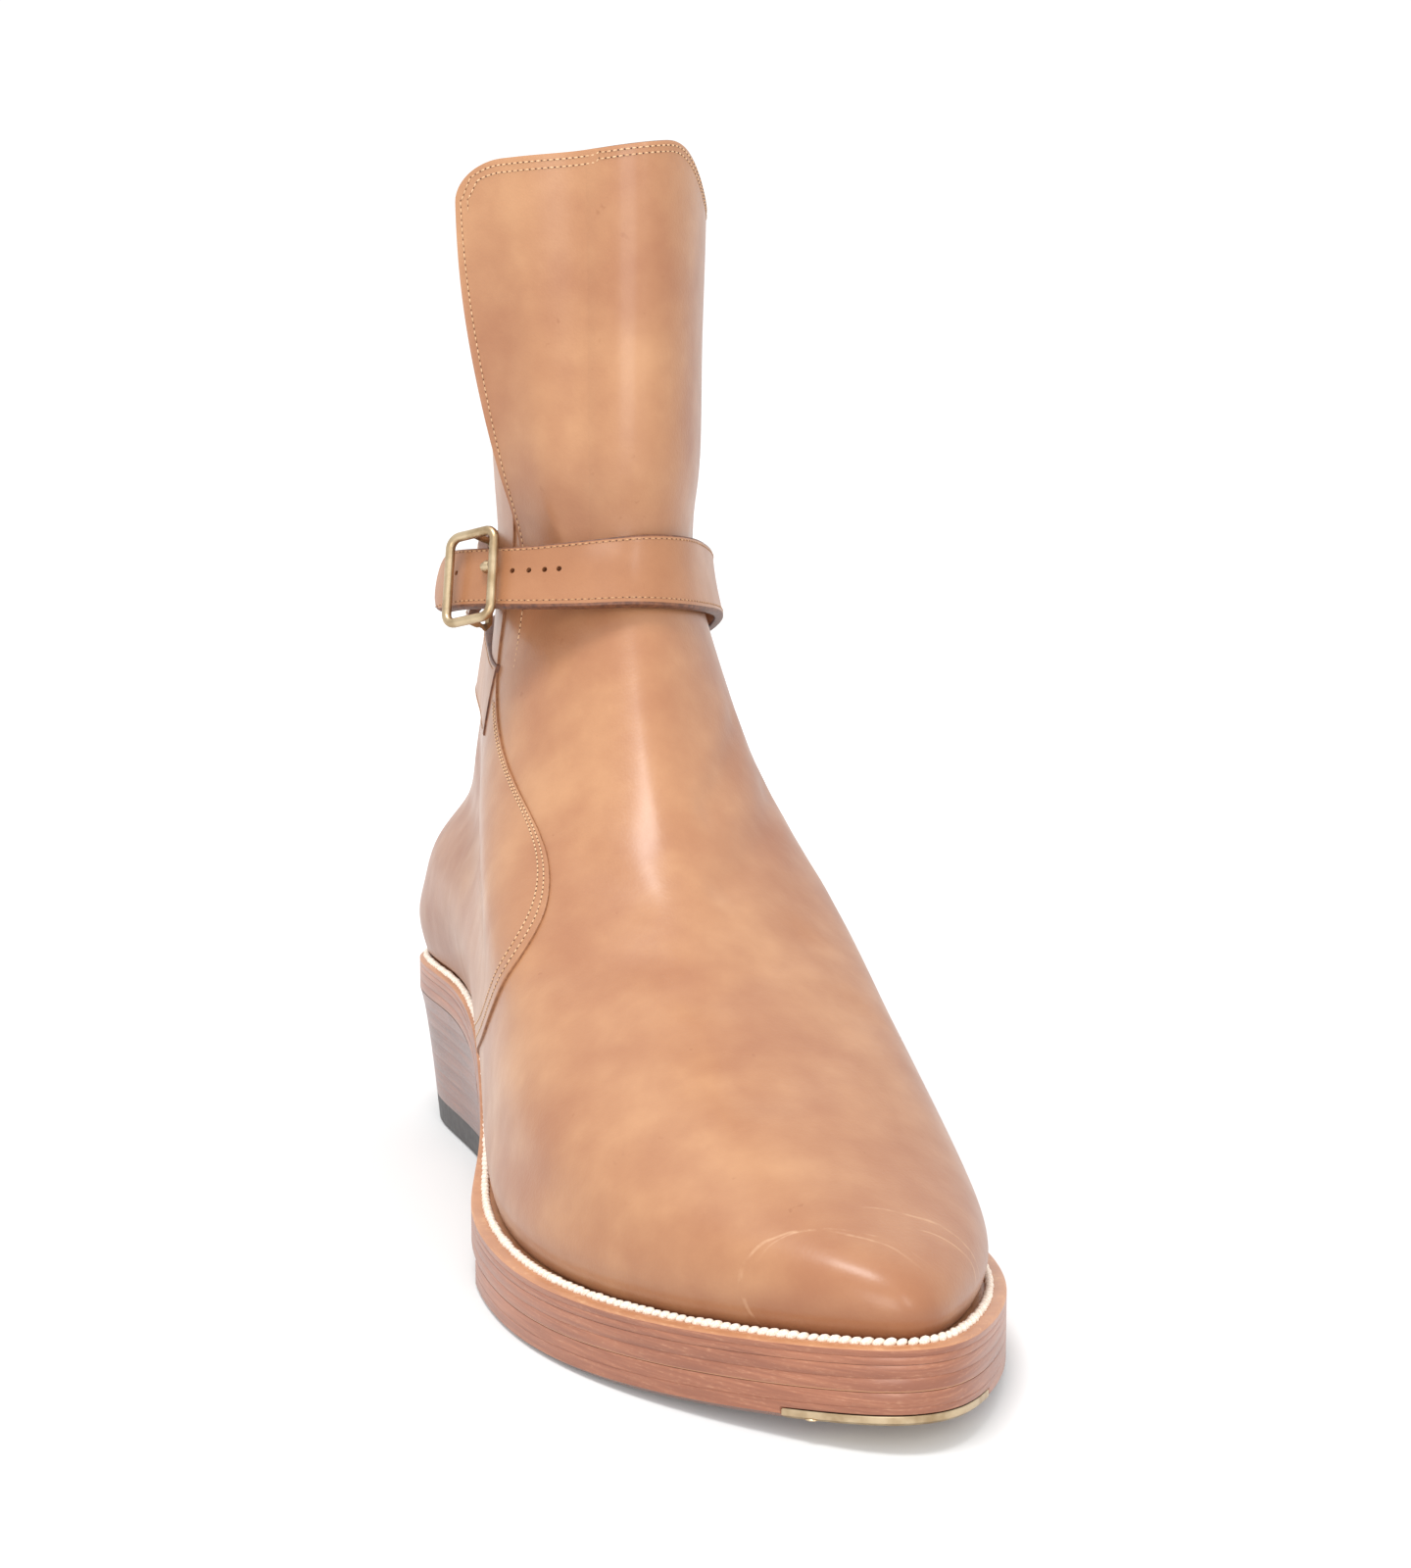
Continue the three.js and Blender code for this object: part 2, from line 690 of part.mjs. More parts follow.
function topLift() {
  const block = solidOf(loft([heelLoop(0), heelLoop(topLiftThickness)], "flat"));
  const depth = plugRecess + plugThickness + gap;
  const hole = (place) => solidOf(plug(place, plugRadius + gap, -gap, depth + gap));
  return geometryOf(plugPlaces.reduce((solid, place) => solid.subtract(hole(place)), block));
}

// Buckle: a rounded frame over the wrap strap, its bar under the strap, and a stud through the strap's hole
const barDepth = 1.8;
function buckleFrameAt() {
  const { turn, v, lift, direction } = strapPlace(wrapRows, buckleAt);
  const facing = frameAt(turn, v).normal;
  facing.addScaledVector(direction, -facing.dot(direction)).normalize();
  const across = new THREE.Vector3().crossVectors(facing, direction);
  return new THREE.Matrix4().makeBasis(direction, across, facing).setPosition(raised(turn, v, lift));
}

function roundedRectangle(width, height, radius) {
  const shape = new THREE.Shape();
  const [w, h] = [width / 2, height / 2];
  shape.moveTo(w, -h + radius);
  shape.lineTo(w, h - radius);
  shape.absarc(w - radius, h - radius, radius, 0, Math.PI / 2);
  shape.lineTo(-w + radius, h);
  shape.absarc(-w + radius, h - radius, radius, Math.PI / 2, Math.PI);
  shape.lineTo(-w, -h + radius);
  shape.absarc(-w + radius, -h + radius, radius, Math.PI, 1.5 * Math.PI);
  shape.lineTo(w - radius, -h);
  shape.absarc(w - radius, -h + radius, radius, 1.5 * Math.PI, 2 * Math.PI);
  return shape;
}

const buckleCorner = 3.5;
const strapSag = 1.4;
function buckle() {
  const rim = roundedRectangle(buckleLength, buckleHeight, buckleCorner);
  const innerLength = buckleLength - 2 * buckleWire;
  const innerHeight = buckleHeight - 2 * buckleWire;
  rim.holes.push(roundedRectangle(innerLength, innerHeight, buckleCorner - buckleWire / 2));
  const ring = new THREE.ExtrudeGeometry(rim, { depth: buckleDepth, bevelEnabled: false, curveSegments: 4 });
  ring.translate(0, 0, strapThickness + strapSag);
  const railY = (buckleHeight - buckleWire) / 2;
  const legHeight = strapThickness + gap + barDepth + 2 * strapSag + buckleDepth / 2;
  const legBottom = -gap - barDepth - strapSag;
  let solid = solidOf(ring);
  for (const side of [-1, 1]) {
    const leg = new THREE.BoxGeometry(buckleWire, buckleWire, legHeight);
    solid = solid.add(solidOf(leg.translate(0, side * railY, legBottom + legHeight / 2)));
  }
  const bar = new THREE.BoxGeometry(buckleWire, 2 * railY, barDepth);
  return geometryOf(solid.add(solidOf(bar.translate(0, 0, legBottom + barDepth / 2))));
}

const studHead = 0.8;
const studNeck = 1.1;
const studCrown = 0.95;
const studSides = 14;
function stud() {
  const bottom = -strapSag;
  const top = strapThickness + gap + studHead;
  const profile = [
    [0, bottom],
    [studNeck, bottom],
    [studNeck, strapThickness + gap / 2],
    [studRadius, strapThickness + gap],
    [studRadius, top],
    [studCrown, top + studHead],
    [0, top + studHead],
  ].map(([r, z]) => new THREE.Vector2(r, z));
  return new THREE.LatheGeometry(profile, studSides).rotateX(Math.PI / 2).translate(-studAside, 0, 0);
}

const placed = (geometry) => geometry.applyMatrix4(buckleFrameAt());

function wrapStrap() {
  const radius = studNeck + gap;
  const hole = new THREE.CylinderGeometry(radius, radius, 4 * strapThickness, studSides);
  hole.rotateX(Math.PI / 2).translate(-studAside, 0, 0);
  return geometryOf(solidOf(strap(wrapRows, wrapSections)).subtract(solidOf(placed(hole))));
}

// Materials, and the boot put together
function material(color, roughness, metalness = 0) {
  return new THREE.MeshStandardMaterial({ color, roughness, metalness });
}
const boot = new THREE.Group();
function add(name, geometry, look) {
  const mesh = new THREE.Mesh(geometry, look);
  mesh.name = name;
  boot.add(mesh);
}

add("upper", upper(), material(0xd6a178, 0.42));
add("back_strip", backStrip(), material(0xcf9a72, 0.45));
add("wrap_strap", wrapStrap(), material(0xd0976c, 0.42));
add("buckle_strap", strap(buckleRows, buckleSections), material(0xcb9168, 0.42));
add("buckle", placed(buckle()), material(0xb69a6a, 0.35, 1));
add("buckle_stud", placed(stud()), material(0xb69a6a, 0.35, 1));
add("insole", insole(), material(0xc79a70, 0.7));
add("welt", welt(), material(0xb06a42, 0.45));
add("midsole", midsole(), material(0xc58a5e, 0.45));
add("half_sole", halfSole(), material(0x8d5a41, 0.25));
add("toe_plate", toePlate(), material(0xc2a263, 0.3, 1));
for (let i = 0; i < liftCount; i++) {
  add(`heel_lift_${i + 1}`, i < liftCount - 2 ? heelLift(i) : heelLiftUnderSole(i), material(0x96502e, 0.35));
}
add("top_lift", topLift(), material(0x2a2625, 0.5));
plugPlaces.forEach((place, i) => {
  add(`top_lift_plug_${i + 1}`, plug(place, plugRadius, plugRecess, plugThickness), material(0x242120, 0.45));
});

// The part's origin is the middle of the boot's box, on the ground
const box = new THREE.Box3().setFromObject(boot);
const middle = box.getCenter(new THREE.Vector3());
boot.position.set(-middle.x, -middle.y, 0);
const part = new THREE.Group();
part.add(boot);
export default part;
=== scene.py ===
# %% [markdown]
# # A jodhpur boot
# A leather ankle boot with a strap wrapped round the ankle, a free front flap, an embroidered back
# strip and a stacked heel. The construction model is loaded first and stays as it is. Every piece made
# here is a finer version of one of its solids, or rests on one of them.

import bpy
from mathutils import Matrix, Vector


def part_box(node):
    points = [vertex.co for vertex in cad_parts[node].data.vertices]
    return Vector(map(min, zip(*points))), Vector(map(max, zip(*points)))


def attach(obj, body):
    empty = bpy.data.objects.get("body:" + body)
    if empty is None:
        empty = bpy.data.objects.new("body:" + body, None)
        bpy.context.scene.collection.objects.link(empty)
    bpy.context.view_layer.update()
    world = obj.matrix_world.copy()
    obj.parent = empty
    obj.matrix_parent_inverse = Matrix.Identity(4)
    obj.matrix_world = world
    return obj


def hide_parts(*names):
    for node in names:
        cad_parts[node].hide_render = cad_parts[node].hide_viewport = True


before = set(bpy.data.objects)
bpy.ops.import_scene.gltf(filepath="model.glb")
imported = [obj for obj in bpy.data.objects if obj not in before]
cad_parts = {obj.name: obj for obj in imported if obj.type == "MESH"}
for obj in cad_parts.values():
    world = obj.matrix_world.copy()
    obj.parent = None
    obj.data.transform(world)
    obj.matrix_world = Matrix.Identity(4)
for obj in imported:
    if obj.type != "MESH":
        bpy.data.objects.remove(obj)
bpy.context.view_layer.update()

import math

import bmesh
import bpy
import numpy as np
from mathutils import Vector

print("nodes:", sorted(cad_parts))

# %% [markdown]
# ## Camera
# The camera stands where the photographer stood: a little above ankle height, in front of the toe and
# toward the little-toe side. It only turns to put the one boot in the middle, and its lens is longer, so
# the boot is seen from the same place and in the same perspective.

# %% Camera
camera_place = Vector((-0.1454, -0.6042, 0.1835))
camera_aim = Vector((0.004, -0.022, 0.107))
camera_lens = 63.0

camera = bpy.data.objects.new("camera", bpy.data.cameras.new("camera"))
bpy.context.scene.collection.objects.link(camera)
camera.location = camera_place
camera.rotation_euler = (camera_aim - camera_place).to_track_quat("-Z", "Y").to_euler()
camera.data.lens = camera_lens
camera.data.clip_start = 0.01
bpy.context.scene.camera = camera
print("camera to aim:", round((camera_aim - camera_place).length, 3), "m")

# %% [markdown]
# ## Studio
# The boot stands on a white sweep in a white room, which fills the shadows. One soft lamp overhead gives
# the broad sheen on the instep and the toe, a large one on the left lights the shaft, and a narrow one in
# front streaks the ankle.

# %% Floor, world and lamps
world_strength = 1.08
floor_size = 40


def lamp(name, place, aim_height, width, height, watts):
    """A soft rectangular lamp that faces a point above the origin."""
    data = bpy.data.lights.new(name, "AREA")
    data.shape = "RECTANGLE"
    data.size, data.size_y = width, height
    data.energy = watts
    obj = bpy.data.objects.new(name, data)
    bpy.context.scene.collection.objects.link(obj)
    obj.location = place
    obj.rotation_euler = (Vector((0, 0, aim_height)) - Vector(place)).to_track_quat("-Z", "Y").to_euler()


lamp("top", (-0.3, -0.25, 1.45), aim_height=0.05, width=0.6, height=0.4, watts=12)
lamp("key", (-0.6, -1.4, 0.5), aim_height=0.16, width=1.0, height=0.8, watts=8)
lamp("front", (0.42, -1.35, 0.78), aim_height=0.12, width=0.14, height=0.7, watts=3)

world = bpy.data.worlds.new("studio")
bpy.context.scene.world = world
world.use_nodes = True
backdrop = world.node_tree.nodes["Background"]
backdrop.inputs["Color"].default_value = (1, 1, 1, 1)
backdrop.inputs["Strength"].default_value = world_strength
bpy.context.scene.view_settings.view_transform = "Standard"

bpy.ops.mesh.primitive_plane_add(size=floor_size, location=(0, 0, 0))
floor = bpy.context.object
floor.name = "floor"

# %% [markdown]
# ## Finishes as Python
# A finish is a small network of nodes. Written out node by node it is hard to read, so one class wraps a
# socket and gives it Python's operators, and one function makes any other node.

# %% Shader maths
def socket_of(value):
    return value.socket if isinstance(value, Value) else value


class Value:
    """A number that varies over a surface."""

    def __init__(self, tree, socket):
        self.tree = tree
        self.socket = socket

    def _maths(self, operation, a, b=None):
        values = {0: a} if b is None else {0: a, 1: b}
        return node(self.tree, "ShaderNodeMath", {"operation": operation}, values)

    def __add__(self, other):
        return self._maths("ADD", self, other)

    def __sub__(self, other):
        return self._maths("SUBTRACT", self, other)

    def __rsub__(self, other):
        return self._maths("SUBTRACT", other, self)

    def __mul__(self, other):
        return self._maths("MULTIPLY", self, other)

    def __abs__(self):
        return self._maths("ABSOLUTE", self)

    __radd__ = __add__
    __rmul__ = __mul__


def node(tree, kind, settings=None, inputs=None, output=0):
    """Any node: its settings first, then the values or links of its sockets."""
    made = tree.nodes.new(kind)
    for name, value in (settings or {}).items():
        setattr(made, name, value)
    for name, value in (inputs or {}).items():
        value = socket_of(value)
        if isinstance(value, bpy.types.NodeSocket):
            tree.links.new(value, made.inputs[name])
        elif isinstance(value, tuple) and made.inputs[name].type == "RGBA":
            made.inputs[name].default_value = (*value[:3], 1)
        else:
            made.inputs[name].default_value = value
    return Value(tree, made.outputs[output])


def srgb(red, green, blue):
    """A colour as read off a picture, 0 to 255, in the linear values that shaders use."""
    return tuple(((c / 255 + 0.055) / 1.055) ** 2.4 for c in (red, green, blue))


class Finish:
    """A material with one Principled shader, and the patterns that this boot's finishes share."""

    def __init__(self, name):
        self.material = bpy.data.materials.new(name)
        self.material.use_nodes = True
        self.tree = self.material.node_tree
        self.shader = self.tree.nodes["Principled BSDF"]
        self.place = self.make("ShaderNodeTexCoord", output="Object")

    def make(self, kind, settings=None, inputs=None, output=0):
        return node(self.tree, kind, settings, inputs, output)

    def stretched(self, x, y, z):
        return self.make("ShaderNodeMapping", None, {"Vector": self.place, "Scale": (x, y, z)})

    def noise(self, per_metre, detail=3.0, where=None):
        values = {"Vector": where or self.place, "Scale": per_metre, "Detail": detail}
        return self.make("ShaderNodeTexNoise", None, values)

    def cells(self, per_metre):
        return self.make("ShaderNodeTexVoronoi", None, {"Vector": self.place, "Scale": per_metre})

    def distance_from(self, centre):
        settings = {"operation": "DISTANCE"}
        return self.make("ShaderNodeVectorMath", settings, {0: self.place, 1: centre}, 1)

    def between(self, low, high, value):
        """0 below low, 1 above high, eased between."""
        settings = {"interpolation_type": "SMOOTHSTEP"}
        values = {"Value": value, "From Min": low, "From Max": high}
        return self.make("ShaderNodeMapRange", settings, values)

    def mix(self, factor, a, b):
        return self.make("ShaderNodeMix", {"data_type": "RGBA"}, {0: factor, 6: a, 7: b}, 2)

    def bump(self, height, distance, strength):
        values = {"Height": height, "Distance": distance, "Strength": strength}
        return self.make("ShaderNodeBump", None, values)

    def wear(self, **inputs):
        """Sets or links the shader's sockets, named as in Blender with _ for a space."""
        for name, value in inputs.items():
            target = self.shader.inputs[name.replace("_", " ")]
            value = socket_of(value)
            if isinstance(value, bpy.types.NodeSocket):
                self.tree.links.new(value, target)
            else:
                target.default_value = (*value, 1) if isinstance(value, tuple) else value
        return self.material


print("middle grey in a shader:", [round(c, 3) for c in srgb(128, 128, 128)])

# %% [markdown]
# ## The leathers
# The upper is vegetable-tanned calf: honey-coloured, nearly smooth, with soft clouds where the hide took
# the dye unevenly, a few darker specks and a satin wax. The clouds are large noise, the pores fine noise
# in a bump. A vertex attribute carries painted shade: a browner colour near the welt, on the inner flank
# and toward the heel.

# %% Leather of the upper, straps and strip
grain_depth = 0.00012


def leather(name, base, deep, pale, rough, marks=None):
    """Dyed leather with its face out. marks: a function that adds wear to colour, height and roughness."""
    look = Finish(name)
    clouds = look.noise(26, 5.0)
    blotches = look.noise(95, 4.0)
    pores = look.cells(1500)
    grain = look.noise(900, 4.0)
    # The vertex attribute read here is painted shade
    painted_shade = look.make("ShaderNodeAttribute", {"attribute_name": "painted_shade"}, None, "Fac")
    shade = look.between(0.36, 0.7, clouds * 0.7 + blotches * 0.3)
    light = look.between(0.5, 0.78, 1 - clouds * 0.6 - blotches * 0.4)
    colour = look.mix(shade * 0.8, base, deep)
    colour = look.mix(light * 0.7, colour, pale)
    # Painted shade darkens the colour toward this brown; the same brown colours the real specks
    shade_and_speck_brown = tuple(c * share for c, share in zip(deep, (0.74, 0.62, 0.52)))
    colour = look.mix(painted_shade * (0.6 + blotches * 0.8), colour, shade_and_speck_brown)
    specks = look.between(0.7, 0.77, look.noise(330, 2.0)) * look.between(0.45, 0.6, blotches)
    colour = look.mix(specks * 0.3, colour, shade_and_speck_brown)
    fibres = look.noise(220, 3.0, look.stretched(1, 1, 0.25))
    height = pores * 0.35 + grain * 0.5 + fibres * 0.5
    roughness = rough + (blotches - 0.5) * 0.16 + (fibres - 0.5) * 0.1
    if marks:
        colour, height, roughness = marks(look, colour, height, roughness)
    normal = look.bump(height, grain_depth, 0.55)
    look.wear(Specular_IOR_Level=0.3, Coat_Weight=0.34, Coat_Roughness=0.24)
    return look.wear(Base_Color=colour, Roughness=roughness, Normal=normal)


honey = srgb(173, 126, 90)
honey_deep = srgb(150, 98, 68)
honey_pale = srgb(186, 140, 102)

# Each scuff over the toe: its centre across and along, then radius, width and reach, in metres
scratch_arcs = [
    (-0.012, -0.155, 0.030, 0.0005, 0.020),
    (-0.006, -0.152, 0.026, 0.0004, 0.016),
    (0.014, -0.148, 0.028, 0.0005, 0.016),
    (0.020, -0.146, 0.020, 0.0004, 0.012),
]
scratch_height = 0.03
scuff_colour = srgb(232, 196, 160)


def toe_scratches(look, colour, height, roughness):
    """Faint curved scuffs over the toe, as thin rings cut short by a soft window."""
    x = look.make("ShaderNodeSeparateXYZ", None, {0: look.place}, "X")
    y = look.make("ShaderNodeSeparateXYZ", None, {0: look.place}, "Y")
    wobble = (look.noise(60, 2.0) - 0.5) * 0.006
    total = None
    for across, along, radius, width, reach in scratch_arcs:
        from_centre = look.distance_from((across, along, scratch_height))
        distance = abs(from_centre - radius + wobble)
        ring = 1 - look.between(width * 0.2, width, distance)
        window = 1 - look.between(reach * 0.4, reach, abs(x - across - radius * 0.3))
        arc = ring * window
        total = arc if total is None else total + arc
    broken = look.between(0.35, 0.6, look.noise(260, 3.0))
    scuff = total * broken * look.between(-0.1, -0.12, y)
    return look.mix(scuff * 0.22, colour, scuff_colour), height + scuff * 0.35, roughness + scuff * 0.1


upper_leather = leather("upper_leather", honey, honey_deep, honey_pale, 0.4, toe_scratches)
strap_leather = leather("strap_leather", srgb(164, 115, 80), srgb(144, 94, 62), srgb(176, 128, 92), 0.42)
strip_leather = leather("strip_leather", srgb(174, 129, 94), srgb(156, 108, 74), srgb(186, 143, 108), 0.45)

# %% [markdown]
# ## Cut edges, lining and insole
# Where leather is cut its flesh side shows: darker and rougher than the face, with short fibres. Lining
# and insole are undyed and dull. All are one recipe in other colours, so one function makes them.

# %% Cut edges, lining and insole
def plain_leather(name, base, deep, rough, per_metre):
    look = Finish(name)
    fibres = look.noise(per_metre, 4.0)
    fine = look.noise(per_metre * 4, 3.0)
    colour = look.mix(look.between(0.35, 0.7, fibres), base, deep)
    normal = look.bump(fibres + fine * 0.5, 0.0001, 0.6)
    return look.wear(Base_Color=colour, Roughness=rough + (fine - 0.5) * 0.2, Normal=normal)


cut_edge = plain_leather("cut_edge", srgb(116, 72, 48), srgb(82, 48, 34), 0.5, 700)
tan_edge = plain_leather("tan_edge", srgb(156, 108, 74), srgb(130, 86, 58), 0.5, 700)
lining = plain_leather("lining", srgb(190, 150, 112), srgb(170, 128, 92), 0.7, 160)
insole_leather = plain_leather("insole_leather", srgb(186, 144, 104), srgb(160, 116, 80), 0.75, 120)
print("leathers:", [m.name for m in bpy.data.materials if "leather" in m.name])

# %% [markdown]
# ## Sole, heel and metal
# A leather sole is cut through its layers, so its edge shows fine lines of fibre that run round the boot,
# burnished red-brown. The lines are noise squeezed flat in height. The heel is a stack of such layers,
# the half sole is polished, the top lift is black rubber, and the buckle and toe plate are satin brass.

# %% Sole and heel finishes
layer_height = 0.004


def layered(name, colours, rough, per_metre=70):
    look = Finish(name)
    along = look.noise(per_metre, 4.0, look.stretched(1, 1, 26))
    slow = look.noise(per_metre * 0.4, 3.0, look.stretched(1, 1, 2 / (layer_height * per_metre)))
    fibres = look.noise(per_metre * 9, 3.0, look.stretched(1, 1, 5))
    base, deep, pale = colours
    colour = look.mix(0.3 + look.between(0.35, 0.68, along * 0.5 + slow * 0.5) * 0.7, deep, base)
    colour = look.mix(look.between(0.5, 0.8, along * 0.3 + fibres * 0.7) * 0.6, colour, pale)
    normal = look.bump(along * 0.5 + fibres * 0.5, grain_depth, 0.5)
    look.wear(Coat_Weight=0.3, Coat_Roughness=0.2)
    return look.wear(Base_Color=colour, Roughness=rough + (fibres - 0.5) * 0.2, Normal=normal)


edge_colours = (srgb(160, 102, 74), srgb(122, 70, 50), srgb(186, 136, 106))
welt_colours = (srgb(184, 128, 88), srgb(156, 100, 66), srgb(208, 164, 124))
heel_colours = (srgb(122, 64, 38), srgb(76, 36, 24), srgb(160, 98, 62))
sole_edge = layered("sole_edge", edge_colours, 0.42)
welt_leather = layered("welt_leather", welt_colours, 0.5)
heel_leather = layered("heel_leather", heel_colours, 0.34, 60)


def polished_sole(name, base, deep, rough, coat):
    look = Finish(name)
    clouds = look.noise(16, 3.0)
    fibres = look.noise(260, 4.0, look.stretched(1, 0.3, 1))
    colour = look.mix(look.between(0.3, 0.72, clouds * 0.8 + fibres * 0.2), deep, base)
    normal = look.bump(fibres, 0.00006, 0.5)
    look.wear(Coat_Weight=coat, Coat_Roughness=0.12)
    return look.wear(Base_Color=colour, Roughness=rough + (fibres - 0.5) * 0.15, Normal=normal)


half_sole_leather = polished_sole("half_sole_leather", srgb(140, 100, 82), srgb(108, 70, 56), 0.25, 0.6)
waist_leather = polished_sole("waist_leather", srgb(196, 146, 108), srgb(168, 114, 80), 0.32, 0.45)


def rubber_finish():
    look = Finish("heel_rubber")
    dust = look.noise(500, 5.0)
    colour = look.mix(look.between(0.55, 0.8, dust) * 0.5, srgb(52, 48, 47), srgb(86, 80, 78))
    normal = look.bump(dust, 0.00008, 0.5)
    return look.wear(Base_Color=colour, Roughness=0.48 + (dust - 0.5) * 0.3, Normal=normal)


heel_rubber = rubber_finish()


def brass_finish():
    look = Finish("brass")
    smears = look.noise(180, 4.0)
    brushed = look.noise(900, 3.0, look.stretched(0.2, 1, 1))
    colour = look.mix(look.between(0.35, 0.7, smears), srgb(200, 180, 148), srgb(160, 136, 104))
    normal = look.bump(brushed, 0.00003, 0.5)
    roughness = 0.36 + (smears - 0.5) * 0.2 + (brushed - 0.5) * 0.1
    return look.wear(Base_Color=colour, Metallic=1.0, Roughness=roughness, Normal=normal)


brass = brass_finish()


def thread_finish(name, base, deep, rough=0.6):
    look = Finish(name)
    strands = look.noise(2600, 2.0)
    colour = look.mix(look.between(0.3, 0.7, strands), base, deep)
    return look.wear(Base_Color=colour, Roughness=rough, Normal=look.bump(strands, 0.00008, 0.6))


pale_thread = thread_finish("pale_thread", srgb(216, 180, 142), srgb(186, 146, 108))
tan_thread = thread_finish("tan_thread", srgb(190, 146, 106), srgb(156, 112, 76))
welt_thread = thread_finish("welt_thread", srgb(246, 234, 222), srgb(220, 200, 180))
# Dark beads in the awl holes between stitches: the shade inside each hole is painted
painted_hole_shade = thread_finish("painted_hole_shade", srgb(96, 62, 44), srgb(70, 44, 32), 0.8)
red_silk = thread_finish("red_silk", srgb(220, 92, 72), srgb(188, 66, 52), 0.45)
olive_silk = thread_finish("olive_silk", srgb(178, 144, 92), srgb(146, 112, 68), 0.45)


def floor_finish():
    """White paper with painted light: greyer near the boot, where the lamps light it most, so the boot's soft
    shadow still shows, whiter far off, and a faint glow over all.
    """
    look = Finish("white_sweep")
    # Painted light: the floor turns from grey near the boot to white far away
    painted_light_far = look.between(0.2, 1.0, look.distance_from((0, 0, 0)))
    colour = look.mix(painted_light_far, srgb(216, 216, 216), srgb(252, 252, 252))
    # A faint glow, painted light that lifts the floor and its shadows
    look.wear(Emission_Color=(1.0, 1.0, 1.0), Emission_Strength=0.1)
    return look.wear(Base_Color=colour, Roughness=0.7)


floor.data.materials.append(floor_finish())
print("finishes:", len(bpy.data.materials))

# %% [markdown]
# ## The boot's surface
# A shoemaker shapes a boot over a last. Here the last is a stack of loops from the welt's edge up to the
# top line: each loop has a back and a front point, widths at heel, waist, ball and toe, and two numbers
# for how blunt its ends are. A smooth curve through the loops gives a surface that any detail can find
# its place on: turn goes round the boot, 0 at the back and half a round at the toe, and place goes up.

# %% Sizes of the boot in millimetres
foot_length = 292
heel_width, waist_width, ball_width, toe_width = 65, 65, 88, 43
instep_rise = 80
ankle_rise, ankle_width, ankle_depth = 107, 46, 97
top_rise, top_width, top_depth = 210, 53, 115
shin_setback, shin_lean = 121, 2
top_slope, quarter_dip, inner_dip = 6, 27, 14
wall, gap = 2.4, 0.3
welt_thickness, midsole_thickness, half_sole_thickness = 3.2, 4.6, 6.2
heel_height, top_lift_thickness, lift_count = 35, 7, 7
toe_spring = 5
heel_grow, waist_grow, fore_grow = 3.4, 2.6, 6
seat_height = heel_height + gap + midsole_thickness + gap + welt_thickness
fore_height = half_sole_thickness + gap + midsole_thickness + gap + welt_thickness

# %% [markdown]
# ## Loops of the last
# Every number in the rows is a share of a size above. The shaft's loops are nearly
# ellipses, so each needs only how far up it lies and how far it leans. A natural cubic joins the rows,
# because it bends evenly and passes through every one of them.

# %% Loops of the last
# Place; back point and its rise; front point and its rise; how far the loop follows the welt; widths and
# leans at heel, waist, ball and toe; how blunt the back and the front are
foot_rows = [
    (0.0, 0.0, 0.0, 1.0, 0.0, 1.0, 0.5, 0.5, 0.5, 0.5, -0.02, -0.035, 0.015, 0.104, 9, 4.8),
    (0.06, -0.006, 0.14, 1.005, 0.07, 1.0, 0.54, 0.53, 0.525, 0.545, -0.02, -0.035, 0.015, 0.1, 9, 4.7),
    (0.13, -0.008, 0.275, 0.985, 0.165, 0.9, 0.53, 0.54, 0.515, 0.56, -0.02, -0.035, 0.02, 0.082, 7, 4.6),
    (0.2, -0.002, 0.425, 0.93, 0.255, 0.7, 0.49, 0.525, 0.505, 0.56, -0.015, -0.03, 0.02, 0.048, 5, 4.4),
    (0.28, 0.012, 0.575, 0.825, 0.415, 0.45, 0.385, 0.485, 0.48, 0.545, -0.005, -0.022, 0.024, 0.026, 4, 4.2),
    (0.37, 0.03, 0.74, 0.69, 0.63, 0.2, 0.345, 0.455, 0.45, 0.475, 0.0, -0.012, 0.025, 0.012, 3, 3.5),
    (0.45, 0.048, 0.93, 0.56, 0.925, 0.0, 0.31, 0.435, 0.37, 0.375, 0.005, -0.002, 0.012, 0.002, 2.5, 2.7),
    (0.52, 0.064, 1.13, 0.47, 1.245, 0.0, 0.265, 0.38, 0.3, 0.305, 0.008, 0.004, 0.006, 0.0, 2.2, 2.2),
]
# Place, how far up from ankle to top, and lean
shaft_rows = [(0.59, 0.0, 0.025), (0.69, 0.22, 0.03), (0.8, 0.5, 0.035), (0.9, 0.78, 0.04), (1.0, 1.0, 0.035)]
# Heel, waist, ball and toe along a loop
stations = np.array([0.12, 0.42, 0.7, 0.93])


def mix(a, b, t):
    return a + (b - a) * t


def eased(low, high, x):
    """0 below low, 1 above high, with no kink at either end."""
    t = np.clip((np.asarray(x, float) - low) / (high - low), 0, 1)
    return t * t * t * (t * (6 * t - 15) + 10)


def feather_height(share):
    """Height of the edge where upper and welt meet, heel 0 to toe 1."""
    spring = np.maximum(0, (np.asarray(share, float) - 0.72) / 0.28)
    return mix(seat_height, fore_height, eased(0.16, 0.64, share)) + toe_spring * spring**2


def rounding(share, back, front):
    """Half width of a loop along its length, rounded off at both ends."""
    s = np.clip(share, 0, 1)
    return np.sqrt(np.maximum(0, 1 - (1 - s) ** back)) * np.sqrt(np.maximum(0, 1 - s**front))


def foot_loop(row):
    at, back, back_rise, front, front_rise, follow, *rest = row
    widths = np.array(rest[:4]) * (heel_width, waist_width, ball_width, toe_width)
    leans = np.array(rest[4:8]) * ball_width
    back_height = feather_height(back) + back_rise * instep_rise
    front_height = feather_height(front) + front_rise * instep_rise
    ends = [-back * foot_length, back_height, -front * foot_length, front_height, follow]
    return [at, *ends, *widths, *leans, *rest[8:]]


